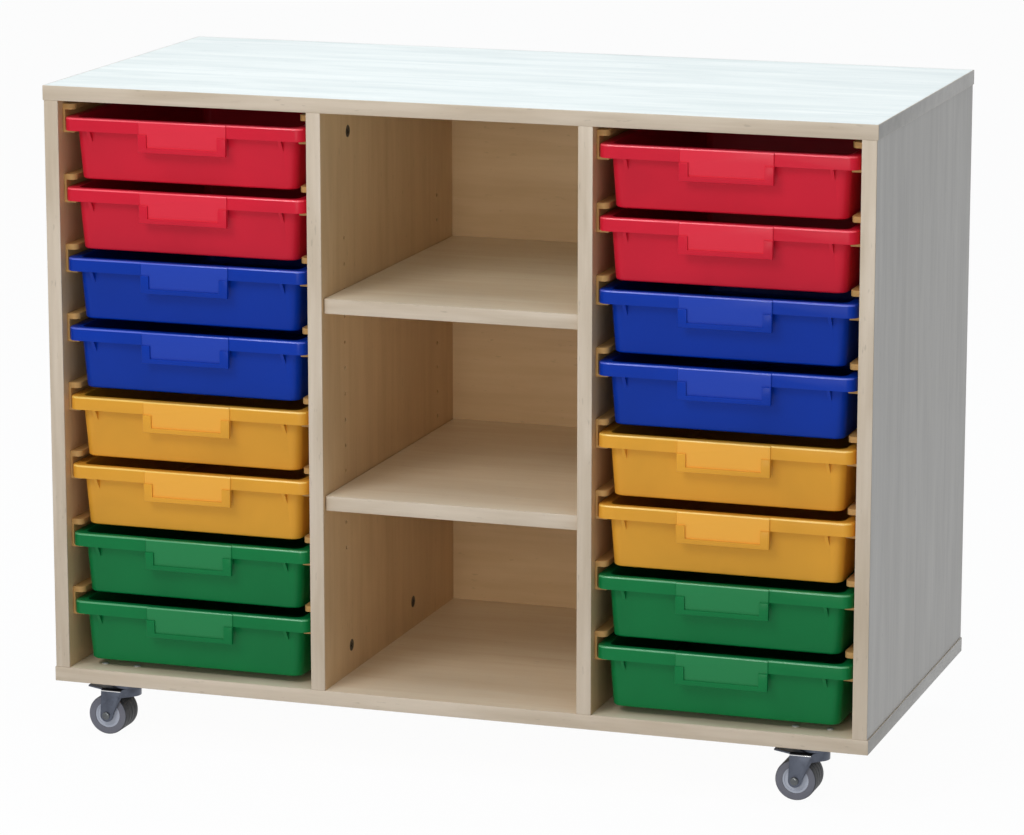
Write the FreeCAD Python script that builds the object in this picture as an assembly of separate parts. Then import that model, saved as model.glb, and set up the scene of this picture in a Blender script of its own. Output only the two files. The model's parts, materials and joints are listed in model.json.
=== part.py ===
import FreeCAD, Part

import math
import os

from FreeCAD import Placement, Rotation, Vector

# Classroom tray storage unit: a melamine-faced board carcass on four swivel castors, with a column of
# eight pull-out plastic trays on each side of an open middle bay that has two shelves.
#
# Frame: +X to the right, +Y to the back, +Z up. The origin is on the floor under the middle of the
# unit's plan. All lengths are in millimetres.

# ---------------------------------------------------------------- driving dimensions: trays
trays_per_bay = 8
tray_width = 312.0
tray_length = 427.0            # with the handle
tray_height = 76.0
tray_gap = 9.9                 # floor of a tray to the rim of the one below
tray_wall = 2.0
tray_taper = 3.6               # degrees, on all four walls
tray_body_bevel = 4.0          # upright corners of the body
tray_cavity_bevel = 3.0        # upright inside corners of the tray
rim_hollow_bevel = 5.0         # upright inside corners of the rim skirt
rim_rear_bevel = 5.0           # upright corners of the rim at the back
rim_corner_radius = 9.0        # upright corners of the rim at the front
rim_height = 16.0
rim_end_stand = 9.0            # rim edge to the body wall, at the front and back
handle_width = 114.0
handle_height = 38.0
handle_reach = 4.0             # top of the handle in front of the rim
handle_rake = 0.5              # bottom of the handle behind its top
handle_narrowing = 0.5         # each side, from top to bottom
handle_plate = 3.0             # at the border round the name card
label_depth = 1.2              # name-card recess and the band above it, behind the border
label_border_side = 11.0
label_border_bottom = 6.0
gusset_inset = 32.5            # each rib under the rim, from the side of the tray
gusset_width = 3.0
gusset_drop = 16.0             # foot of the rib below the rim skirt

# ---------------------------------------------------------------- driving dimensions: runners
runner_setback = 15.0          # runner front end behind the carcass front
runner_projection = 15.0
runner_web = 3.0
runner_headroom = 8.2          # above the tray's rim, inside the channel
runner_upper_flange = 8.5
runner_lower_flange = 3.3
runner_nose_bevel = 7.0        # front corner of the upper flange
runner_stop = 3.0              # thickness of the stop at the back of the channel
tray_rise = 0.3                # rim skirt above the runner's lower flange
tray_side_gap = 1.0            # rim skirt to the runner's web
tray_body_gap = 0.5            # body wall at the rim to the tips of the runner's flanges
tray_stop_gap = 0.5            # back of the tray to the runner's stop

# ---------------------------------------------------------------- driving dimensions: carcass
board_thickness = 18.0
tray_setback = 0.5             # front of a handle behind the carcass front
space_behind_trays = 46.5      # tray to back panel
top_tray_drop = 20.6           # worktop underside to the rim of the top tray
space_below_trays = 9.1        # base panel to the bottom tray
end_overhang = 1.5             # worktop and base panel stand past each side panel
shelf_end_gap = 1.0            # each end of a shelf to the divider beside it
shelf_setback = 6.5            # shelf front edge behind the carcass front
shelf_back_gap = 0.5           # shelf to back panel

# ---------------------------------------------------------------- driving dimensions: shelf supports
stud_front_inset = 78.0        # front pair of studs, behind the carcass front
stud_back_inset = 60.0         # back pair, in front of the back panel
stud_reach = 9.0               # from the divider under the shelf
stud_width = 8.0
stud_height = 7.0
stud_tip = 3.0                 # height of the stud at its tip

# ---------------------------------------------------------------- driving dimensions: castors
castor_side_inset = 75.0       # swivel axis from the end of the base panel
castor_end_inset = 54.0        # swivel axis from the front or back of the base panel
castor_plate_size = 60.0
castor_plate_thickness = 2.5
race_radius = 20.0
race_taper = 2.5               # the race is this much narrower at the plate
race_gap = 0.4                 # between the race and the fork
kingpin_radius = 5.0
kingpin_nut_across_flats = 14.0
kingpin_nut = 2.5
running_clearance = 0.05       # shafts in their bores, on the radius
crown_drop = 14.0              # base panel underside to the top of the fork crown
fork_thickness = 2.2
fork_skirt = 11.0              # height of the round skirt at the fork's nose
fork_nose_radius = 16.0
fork_tail = 27.5               # swivel axis to the trailing edge of the crown
leg_width_top = 26.5
leg_radius = 8.0               # rounded end of a fork leg
wheel_radius = 25.0
wheel_width = 39.0
wheel_side_gap = 1.2           # wheel to fork leg
wheel_trail = 21.0             # swivel axis to axle
axle_radius = 3.0
axle_head_radius = 5.0
axle_head = 2.5                # head and nut stand this far off the legs
axle_nut_across_flats = 8.0
brake_pin_radius = 1.5
brake_pin_lead = 1.0           # brake pin ahead of the axle
brake_headroom = 4.1           # brake pin below the crown plate
brake_wheel_gap = 3.7          # brake pin above the wheel
brake_boss_length = 6.0
brake_boss_thickness = 4.8
pedal_width = 24.0
pedal_reach = 50.0             # swivel axis to the tip of the pedal
pedal_thickness = 2.2
pedal_rise = 9.0               # degrees, pedal above level when the brake is off

# ---------------------------------------------------------------- worked-out sizes
bay_count = 3
tray_pitch = tray_height + tray_gap
runner_channel = tray_rise + rim_height + runner_headroom
rim_side_stand = runner_projection - runner_web - tray_side_gap + tray_body_gap
rim_length = tray_length - handle_reach
bay_width = tray_width + 2 * (tray_side_gap + runner_web)
clear_height = top_tray_drop + (trays_per_bay - 1) * tray_pitch + tray_height + space_below_trays
divider_depth = tray_setback + tray_length + space_behind_trays
carcass_depth = divider_depth + board_thickness
panel_width = bay_count * bay_width + (bay_count + 1) * board_thickness + 2 * end_overhang
brake_pin_drop = crown_drop + fork_thickness + brake_headroom
brake_pin_trail = wheel_trail - brake_pin_lead
castor_height = brake_pin_drop + brake_wheel_gap + 2 * wheel_radius
cut_margin = 1.0               # how far a cutting tool runs past what it cuts

# ---------------------------------------------------------------- worked-out places
front = -carcass_depth / 2
back = carcass_depth / 2
base_underside = castor_height
base_top = base_underside + board_thickness
worktop_underside = base_top + clear_height
bay_offset = bay_width + board_thickness
divider_offset = bay_offset / 2
side_panel_offset = divider_offset + bay_offset


def depth(distance):
    """Y of a place that lies this far behind the carcass front."""
    return front + distance


# ---------------------------------------------------------------- shape helpers
def block(x_range, y_range, z_range):
    """Box between two limits on each axis."""
    (x0, x1), (y0, y1), (z0, z1) = x_range, y_range, z_range
    return Part.makeBox(x1 - x0, y1 - y0, z1 - z0, Vector(x0, y0, z0))


def frustum(bottom, top, z_bottom, z_top):
    """Block whose rectangular section (x0, x1, y0, y1) changes evenly from bottom to top."""
    bx0, bx1, by0, by1 = bottom
    tx0, tx1, ty0, ty1 = top
    shape = Part.makeWedge(bx0, z_bottom, -by1, -ty1, tx0, bx1, z_top, -by0, -ty0, tx1)
    shape.rotate(Vector(), Vector(1, 0, 0), 90)
    return shape


def is_upright(edge):
    """True for an edge that runs mostly up and down."""
    rise = abs(edge.Vertexes[-1].Point.z - edge.Vertexes[0].Point.z)
    return rise > 0.9 * edge.Length


def upright_edges(shape):
    return [edge for edge in shape.Edges if is_upright(edge)]


def bevel_corners(shape, size):
    """Bevel the upright edges of a block or frustum."""
    return shape.makeChamfer(size, upright_edges(shape))


def prism_across(points, width, x_middle=0.0):
    """Prism of an outline of (y, z) points, with its width along X about x_middle."""
    corners = [Vector(x_middle - width / 2, y, z) for y, z in points]
    return Part.Face(Part.makePolygon(corners + corners[:1])).extrude(Vector(width, 0, 0))


def hexagon(across_flats, thickness, centre, direction):
    """Hexagonal nut blank that stands on centre and points along direction."""
    corner = across_flats / math.sqrt(3)
    turns = [math.pi * k / 3 for k in range(6)]
    corners = [Vector(corner * math.cos(turn), corner * math.sin(turn), 0) for turn in turns]
    nut = Part.Face(Part.makePolygon(corners + corners[:1])).extrude(Vector(0, 0, thickness))
    nut.Placement = Placement(centre, Rotation(Vector(0, 0, 1), direction))
    return nut


def group(solids):
    """One compound of separate solids."""
    return Part.makeCompound(solids)


def export(name, shape):
    """Write one node."""
    shape.exportStep(os.path.join("parts", name + ".step"))


# ---------------------------------------------------------------- places of repeated pieces
def shelf_undersides():
    """The two shelves split the clear height into three equal spaces."""
    space = (clear_height - 2 * board_thickness) / 3
    return [base_top + space, base_top + 2 * space + board_thickness]


def stud_columns():
    """Y of the front and back pair of studs under a shelf."""
    return [depth(stud_front_inset), depth(divider_depth - stud_back_inset)]


def tray_levels():
    """Height of each tray's rim, from the top tray down."""
    return [worktop_underside - top_tray_drop - tray * tray_pitch for tray in range(trays_per_bay)]


def castor_places():
    """Name and swivel axis of each castor."""
    x = panel_width / 2 - castor_side_inset
    y = carcass_depth / 2 - castor_end_inset
    return [("front_left", -x, -y), ("front_right", x, -y), ("rear_left", -x, y), ("rear_right", x, y)]


# ---------------------------------------------------------------- boards
def make_wide_panel(underside):
    """Worktop or base panel, over the full width of the unit."""
    z_range = (underside, underside + board_thickness)
    return block((-panel_width / 2, panel_width / 2), (front, back), z_range)


def make_upright(x_middle, y_back):
    """Upright board from the base panel to the worktop."""
    x_range = (x_middle - board_thickness / 2, x_middle + board_thickness / 2)
    return block(x_range, (front, y_back), (base_top, worktop_underside))


def make_back_panel():
    half = side_panel_offset - board_thickness / 2
    return block((-half, half), (depth(divider_depth), back), (base_top, worktop_underside))


def make_shelf(underside):
    half = bay_width / 2 - shelf_end_gap
    y_range = (depth(shelf_setback), depth(divider_depth - shelf_back_gap))
    return block((-half, half), y_range, (underside, underside + board_thickness))


def make_shelf_stud(side, y, underside):
    """Wedge-shaped stud on a divider, flat on top, where it carries a shelf."""
    outline = [(0, 0), (stud_reach, 0), (stud_reach, -stud_tip), (0, -stud_height)]
    x_face = side * bay_width / 2
    corners = [Vector(x_face - side * x, y - stud_width / 2, underside + z) for x, z in outline]
    return Part.Face(Part.makePolygon(corners + corners[:1])).extrude(Vector(0, stud_width, 0))


def make_shelf_studs():
    return group([
        make_shelf_stud(side, y, underside)
        for side in (-1, 1)
        for y in stud_columns()
        for underside in shelf_undersides()
    ])


# ---------------------------------------------------------------- runners
def make_runner(x_face, side, ledge):
    """C-section runner on an upright's face, open towards +X (side 1) or -X (side -1)."""
    y_front = depth(runner_setback)
    y_stop = depth(tray_setback + tray_length + tray_stop_gap)
    outline = [
        (0, -runner_lower_flange),
        (runner_projection, -runner_lower_flange),
        (runner_projection, 0),
        (runner_web, 0),
        (runner_web, runner_channel),
        (runner_projection, runner_channel),
        (runner_projection, runner_channel + runner_upper_flange),
        (0, runner_channel + runner_upper_flange),
    ]
    corners = [Vector(x, y_front, z) for x, z in outline]
    section = Part.Face(Part.makePolygon(corners + corners[:1]))
    runner = section.extrude(Vector(0, y_stop + runner_stop - y_front, 0))
    noses = [
        edge
        for edge in runner.Edges
        if is_upright(edge)
        and edge.CenterOfMass.z > runner_channel
        and abs(edge.CenterOfMass.x - runner_projection) < 1e-6
        and abs(edge.CenterOfMass.y - y_front) < 1e-6
    ]
    runner = runner.makeChamfer(runner_nose_bevel, noses)
    stop = block((0, runner_projection), (y_stop, y_stop + runner_stop), (0, runner_channel))
    runner = runner.fuse(stop).removeSplitter()
    if side < 0:
        runner = runner.mirror(Vector(), Vector(1, 0, 0))
    runner.translate(Vector(x_face, 0, ledge))
    return runner


def make_runners(x_face, side):
    """The column of runners on one face, one to each tray."""
    ledge_drop = rim_height + tray_rise
    return group([make_runner(x_face, side, level - ledge_drop) for level in tray_levels()])


# ---------------------------------------------------------------- trays
# A tray's own frame: X from its middle, Y back from the front face of its rim, Z up from its rim.

def body_section(z, inset):
    """Section of the tray's body at this height, drawn in by inset."""
    draw = inset - z * math.tan(math.radians(tray_taper))
    half = tray_width / 2 - rim_side_stand - draw
    return (-half, half, rim_end_stand + draw, rim_length - rim_end_stand - draw)


def handle_half_width(z):
    return handle_width / 2 + z / handle_height * handle_narrowing


def handle_face(z):
    """Y of the handle's front face."""
    return -handle_reach - z / handle_height * handle_rake


def edges_at(shape, y):
    """Upright edges in the plane of this Y."""
    return [edge for edge in upright_edges(shape) if abs(edge.CenterOfMass.y - y) < 1e-6]


def make_rim():
    """Flange with a skirt all round, open underneath, and the handle moulded on its front."""
    half = tray_width / 2
    flange = block((-half, half), (0, rim_length), (-rim_height, 0))
    flange = flange.makeFillet(rim_corner_radius, edges_at(flange, 0))
    flange = flange.makeChamfer(rim_rear_bevel, edges_at(flange, rim_length))
    low, high = -handle_height, 0.0
    handle = frustum(
        (-handle_half_width(low), handle_half_width(low), handle_face(low), tray_wall),
        (-handle_half_width(high), handle_half_width(high), handle_face(high), tray_wall),
        low,
        high,
    )
    inner_half = half - tray_wall
    hollow = bevel_corners(
        block(
            (-inner_half, inner_half),
            (tray_wall, rim_length - tray_wall),
            (-rim_height - cut_margin, -tray_wall),
        ),
        rim_hollow_bevel,
    )
    return flange.fuse(handle).cut(hollow).cut(make_finger_space())


def make_finger_space():
    """Space behind the handle plate, open below."""
    low, high = -handle_height - cut_margin, -tray_wall

    def section(z):
        half = handle_half_width(z) - tray_wall
        return (-half, half, handle_face(z) + handle_plate, rim_end_stand)

    return frustum(section(low), section(high), low, high)


def make_label_recess():
    """Recess in the handle's face: the whole rim band, and inside a border below it for a name card."""
    low, high = label_border_bottom - handle_height, -rim_height

    def section(z, border):
        half = handle_half_width(z) - border
        return (-half, half, handle_face(z) - cut_margin, handle_face(z) + label_depth)

    card = frustum(section(low, label_border_side), section(high, label_border_side), low, high)
    band = frustum(section(high, -cut_margin), section(cut_margin, -cut_margin), high, cut_margin)
    return card.fuse(band)


def make_gussets():
    """Ribs between the rim and the body at the front, rooted inside both walls."""
    high, low = -tray_wall / 2, -rim_height - gusset_drop
    outline = [
        (tray_wall / 2, high),
        (body_section(high, tray_wall / 2)[2], high),
        (body_section(low, tray_wall / 2)[2], low),
        (tray_wall / 2, -rim_height),
    ]
    offset = tray_width / 2 - gusset_inset
    return [prism_across(outline, gusset_width, x_middle) for x_middle in (-offset, offset)]


def make_tray():
    """Thin-walled tray with drafted walls, a hollow rim and a raked handle."""
    body = bevel_corners(
        frustum(body_section(-tray_height, 0), body_section(0, 0), -tray_height, 0),
        tray_body_bevel,
    )
    floor = tray_wall - tray_height
    cavity = bevel_corners(
        frustum(body_section(floor, tray_wall), body_section(cut_margin, tray_wall), floor, cut_margin),
        tray_cavity_bevel,
    )
    tray = make_rim().multiFuse([body] + make_gussets())
    return tray.cut(cavity).cut(make_label_recess()).removeSplitter()


def place_tray(tray, x_middle, level):
    placed = tray.copy()
    placed.translate(Vector(x_middle, depth(tray_setback + handle_reach), level))
    return placed


# ---------------------------------------------------------------- castors
# A castor's own frame: X and Y from its swivel axis, Z up from the underside of the base panel.
# The wheel trails towards -X.
axle_drop = castor_height - wheel_radius
leg_inside = wheel_width / 2 + wheel_side_gap
leg_outside = leg_inside + fork_thickness


def make_castor_mount():
    """Mounting plate with its race and the kingpin, whose nut lies under the fork crown."""
    half = castor_plate_size / 2
    plate = block((-half, half), (-half, half), (-castor_plate_thickness, 0))
    race_bottom = race_gap - crown_drop
    race = Part.makeCone(
        race_radius, race_radius - race_taper, -castor_plate_thickness - race_bottom, Vector(0, 0, race_bottom)
    )
    nut_top = -crown_drop - fork_thickness - race_gap
    pin = Part.makeCylinder(kingpin_radius, race_bottom - nut_top, Vector(0, 0, nut_top))
    nut = hexagon(kingpin_nut_across_flats, kingpin_nut, Vector(0, 0, nut_top), Vector(0, 0, -1))
    return plate.multiFuse([race, pin, nut])


def make_castor_mounts():
    mounts = []
    for _, x, y in castor_places():
        mount = make_castor_mount()
        mount.translate(Vector(x, y, base_underside))
        mounts.append(mount)
    return group(mounts)


def crown_outline():
    """Plan of the fork crown: straight sides between the legs, drawn in to a round nose."""
    leg_end = leg_width_top - fork_tail
    reach = math.hypot(leg_end, leg_outside)
    turn = math.atan2(leg_outside, leg_end) - math.acos(fork_nose_radius / reach)
    touch_x = fork_nose_radius * math.cos(turn)
    touch_y = fork_nose_radius * math.sin(turn)
    sides = Part.makePolygon([
        Vector(touch_x, touch_y, 0),
        Vector(leg_end, leg_outside, 0),
        Vector(-fork_tail, leg_outside, 0),
        Vector(-fork_tail, -leg_outside, 0),
        Vector(leg_end, -leg_outside, 0),
        Vector(touch_x, -touch_y, 0),
    ])
    nose = Part.Arc(Vector(touch_x, -touch_y, 0), Vector(fork_nose_radius, 0, 0), Vector(touch_x, touch_y, 0))
    return Part.Face(Part.Wire(sides.Edges + [nose.toShape()]))


def crown_hollow():
    """Plan of the space inside the crown, open at the tail, with a many-sided nose."""
    leg_end = leg_width_top - fork_tail
    nose = fork_nose_radius - fork_thickness
    tail = -fork_tail - cut_margin
    half_plan = [(tail, leg_inside), (leg_end, leg_inside), (nose / 2, nose * math.sqrt(3) / 2), (nose, 0)]
    plan = half_plan + [(x, -y) for x, y in half_plan[2::-1]]
    corners = [Vector(x, y, 0) for x, y in plan]
    return Part.Face(Part.makePolygon(corners + corners[:1]))


def make_leg(side):
    """Flat fork leg that narrows to a rounded end at the axle."""
    y_inner = side * leg_inside
    direction = Vector(0, side * fork_thickness, 0)
    trail_edge = -wheel_trail - leg_radius
    outline = [
        Vector(-fork_tail, y_inner, -crown_drop - fork_thickness),
        Vector(leg_width_top - fork_tail, y_inner, -crown_drop - fork_thickness),
        Vector(leg_width_top - fork_tail, y_inner, -crown_drop - fork_skirt),
        Vector(leg_radius - wheel_trail, y_inner, -axle_drop),
        Vector(trail_edge, y_inner, -axle_drop),
    ]
    blade = Part.Face(Part.makePolygon(outline + outline[:1])).extrude(direction)
    end = Part.makeCylinder(
        leg_radius, fork_thickness, Vector(-wheel_trail, y_inner, -axle_drop), Vector(0, side, 0)
    )
    return blade.fuse(end)


def cross_pin(radius, x, drop, half_length):
    """Cylinder along Y through both fork legs."""
    return Part.makeCylinder(radius, 2 * half_length, Vector(x, -half_length, -drop), Vector(0, 1, 0))


def make_axle():
    """Axle across both legs, with a round head in front and a hexagon nut behind."""
    shank = cross_pin(axle_radius, -wheel_trail, axle_drop, leg_outside)
    head = Part.makeCylinder(
        axle_head_radius, axle_head, Vector(-wheel_trail, -leg_outside, -axle_drop), Vector(0, -1, 0)
    )
    nut_place = Vector(-wheel_trail, leg_outside, -axle_drop)
    nut = hexagon(axle_nut_across_flats, axle_head, nut_place, Vector(0, 1, 0))
    return shank.multiFuse([head, nut])


def make_fork(has_brake):
    """Pressed fork with a round skirted nose and two legs, riveted to its axle and brake pin."""
    crown = crown_outline().extrude(Vector(0, 0, -fork_skirt))
    hollow = crown_hollow().extrude(Vector(0, 0, -fork_skirt))
    hollow.translate(Vector(0, 0, -fork_thickness))
    crown = crown.cut(hollow)
    crown.translate(Vector(0, 0, -crown_drop))
    bore = Part.makeCylinder(
        kingpin_radius + running_clearance, fork_thickness + 2 * cut_margin,
        Vector(0, 0, -crown_drop - fork_thickness - cut_margin),
    )
    pieces = [make_leg(-1), make_leg(1), make_axle()]
    if has_brake:
        pieces.append(cross_pin(brake_pin_radius, -brake_pin_trail, brake_pin_drop, leg_outside))
    return crown.cut(bore).multiFuse(pieces).removeSplitter()


def make_wheel():
    """Wide single wheel, bored for the axle."""
    half = wheel_width / 2
    wheel = cross_pin(wheel_radius, -wheel_trail, axle_drop, half)
    return wheel.cut(cross_pin(axle_radius + running_clearance, -wheel_trail, axle_drop, half))


def make_brake_pedal():
    """Foot pedal with a thicker boss round the brake pin."""
    half = pedal_width / 2
    boss_half = brake_boss_length / 2
    length = pedal_reach - brake_pin_trail
    boss = block(
        (-boss_half, boss_half), (-half, half), (-brake_boss_thickness / 2, brake_boss_thickness / 2)
    )
    plate = block((-length, 0), (-half, half), (-pedal_thickness / 2, pedal_thickness / 2))
    pedal = boss.fuse(plate).cut(cross_pin(brake_pin_radius + running_clearance, 0, 0, half))
    pedal.rotate(Vector(), Vector(0, 1, 0), pedal_rise)
    pedal.translate(Vector(-brake_pin_trail, 0, -brake_pin_drop))
    return pedal


def export_castor(name, x, y):
    """Write the moving pieces of one castor; only the front castors have a brake."""
    has_brake = name.startswith("front")
    pieces = {"fork": make_fork(has_brake), "wheel": make_wheel()}
    if has_brake:
        pieces["brake_pedal"] = make_brake_pedal()
    for piece, shape in pieces.items():
        shape.translate(Vector(x, y, base_underside))
        export(name + "_" + piece, shape)


# ---------------------------------------------------------------- the whole unit
def export_carcass():
    export("worktop", make_wide_panel(worktop_underside))
    export("base_panel", make_wide_panel(base_underside))
    export("left_side_panel", make_upright(-side_panel_offset, back))
    export("right_side_panel", make_upright(side_panel_offset, back))
    export("left_divider", make_upright(-divider_offset, depth(divider_depth)))
    export("right_divider", make_upright(divider_offset, depth(divider_depth)))
    export("back_panel", make_back_panel())
    lower, upper = shelf_undersides()
    export("lower_shelf", make_shelf(lower))
    export("upper_shelf", make_shelf(upper))
    export("shelf_studs", make_shelf_studs())


def export_tray_columns():
    tray = make_tray()
    for bay, side in (("left", -1), ("right", 1)):
        middle = side * bay_offset
        outer = middle + side * bay_width / 2
        inner = middle - side * bay_width / 2
        export(bay + "_bay_outer_runners", make_runners(outer, -side))
        export(bay + "_bay_inner_runners", make_runners(inner, side))
        for number, level in enumerate(tray_levels(), start=1):
            export("%s_tray_%d" % (bay, number), place_tray(tray, middle, level))


def export_castors():
    export("castor_mounts", make_castor_mounts())
    for name, x, y in castor_places():
        export_castor(name, x, y)


os.makedirs("parts", exist_ok=True)
export_carcass()
export_tray_columns()
export_castors()
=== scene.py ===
"""Looks of a classroom tray storage unit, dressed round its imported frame.

The carcass is maple-faced board with cam joints, the trays are moulded plastic on C-section runners,
and four swivel castors carry the unit. Lengths are in metres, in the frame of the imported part:
+X to the right, +Y to the back, +Z up, with the origin on the floor under the middle of the plan.
"""

import json
import logging
import math
from dataclasses import dataclass
from enum import Enum
from typing import Callable, Optional, Sequence, Union

import bmesh
import bpy
from mathutils import Matrix, Vector


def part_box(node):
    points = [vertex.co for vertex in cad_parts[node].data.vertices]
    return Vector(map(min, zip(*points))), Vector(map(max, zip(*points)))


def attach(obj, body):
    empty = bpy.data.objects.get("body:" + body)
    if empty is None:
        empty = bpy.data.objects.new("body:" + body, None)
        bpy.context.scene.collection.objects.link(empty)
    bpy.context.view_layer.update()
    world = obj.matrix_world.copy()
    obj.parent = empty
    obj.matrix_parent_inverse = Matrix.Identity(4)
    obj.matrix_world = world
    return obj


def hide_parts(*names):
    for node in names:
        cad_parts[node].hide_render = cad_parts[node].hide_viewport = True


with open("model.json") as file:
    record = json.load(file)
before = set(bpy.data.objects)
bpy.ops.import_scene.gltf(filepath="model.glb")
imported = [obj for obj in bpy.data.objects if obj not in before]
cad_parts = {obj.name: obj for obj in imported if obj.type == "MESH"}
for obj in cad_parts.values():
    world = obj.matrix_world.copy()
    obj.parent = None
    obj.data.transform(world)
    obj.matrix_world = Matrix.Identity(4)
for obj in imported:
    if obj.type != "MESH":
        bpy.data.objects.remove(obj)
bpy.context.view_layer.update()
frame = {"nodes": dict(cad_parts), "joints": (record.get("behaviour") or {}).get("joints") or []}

LOG = logging.getLogger("tray_unit")
MM = 0.001
JOIN_DISTANCE = 1e-6          # corners nearer than this are one corner
FLAT_ANGLE = math.radians(0.6)  # faces that turn less than this are one flat face
MARK = "mark"                 # name of the attribute that tells marked faces from the rest
SMOOTH_ANGLE = math.radians(32.0)  # edges sharper than this stay crisp
CUT_MARGIN = 1.0 * MM         # how far a cutting tool reaches past the face that it cuts
NEAR = 0.1 * MM               # places nearer than this are the same place
FACING = 0.9                  # least share of a normal along an axis, for a face that looks along it

Colour = tuple[float, float, float, float]
Point = tuple[float, float, float]
Spot = tuple[float, float]    # a point in a plane


def scaled(colour: Colour, factor: float, lift: float = 0.0) -> Colour:
    """Colour with its channels multiplied and lifted, none above 1."""
    return tuple(min(1.0, channel * factor + lift) for channel in colour[:3]) + (1.0,)


def tone(red: int, green: int, blue: int) -> Colour:
    """Turn a colour written in display values into the linear one that a shader takes.

    Args:
        red: 0 to 255.
        green: 0 to 255.
        blue: 0 to 255.

    Returns:
        Linear red, green and blue, with full alpha.
    """

    def linear(value: int) -> float:
        """One channel, from display to linear."""
        share = value / 255.0
        return share / 12.92 if share <= 0.04045 else ((share + 0.055) / 1.055) ** 2.4

    return (linear(red), linear(green), linear(blue), 1.0)


# ------------------------------------------------------------------------------------- shaders
def operator(operation: str, swapped: bool = False) -> Callable[["Wire", "Value"], "Wire"]:
    """Make one of Wire's arithmetic methods.

    Args:
        operation: The Math node's operation.
        swapped: Whether the wire stands on the right.

    Returns:
        The method.
    """

    def method(self: "Wire", other: "Value") -> "Wire":
        """Feed both sides into one Math node."""
        first, second = (other, self) if swapped else (self, other)
        return self.paint.maths(operation, first, second)

    return method


class Wire:
    """A shader socket that takes part in Python arithmetic."""

    def __init__(self, paint: "Paint", socket: bpy.types.NodeSocket) -> None:
        """Hold a socket and the paint that it belongs to."""
        self.paint = paint
        self.socket = socket

    __add__ = operator("ADD")
    __radd__ = operator("ADD", swapped=True)
    __sub__ = operator("SUBTRACT")
    __rsub__ = operator("SUBTRACT", swapped=True)
    __mul__ = operator("MULTIPLY")
    __rmul__ = operator("MULTIPLY", swapped=True)
    __truediv__ = operator("DIVIDE")
    __rtruediv__ = operator("DIVIDE", swapped=True)
    __pow__ = operator("POWER")

    def held(self) -> "Wire":
        """The value, kept between 0 and 1."""
        return self.paint.maths("MINIMUM", self.paint.maths("MAXIMUM", self, 0.0), 1.0)

    def rise(self, start: float, span: float) -> "Wire":
        """0 up to the start, then rising to 1 over the span."""
        return ((self - start) / span).held()


Value = Union[Wire, float, int, Sequence[float]]


def add_node(
    tree: bpy.types.NodeTree,
    kind: str,
    settings: Optional[dict] = None,
    inputs: Optional[dict] = None,
) -> bpy.types.Node:
    """Add one node to a tree.

    Args:
        tree: The tree.
        kind: The node's type.
        settings: Its properties.
        inputs: A value, a wire or a socket for each named or numbered input.

    Returns:
        The node.
    """
    made = tree.nodes.new(kind)
    for name, value in (settings or {}).items():
        setattr(made, name, value)
    for name, value in (inputs or {}).items():
        source = value.socket if isinstance(value, Wire) else value
        if isinstance(source, bpy.types.NodeSocket):
            tree.links.new(source, made.inputs[name])
        else:
            made.inputs[name].default_value = source
    return made


@dataclass(frozen=True)
class Noise:
    """Settings of one noise texture."""

    scale: float            # number of features to a metre
    detail: float = 3.0     # number of finer layers
    rough: float = 0.5      # weight of the finer layers
    warp: float = 0.0       # how much the noise is bent by itself


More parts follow.
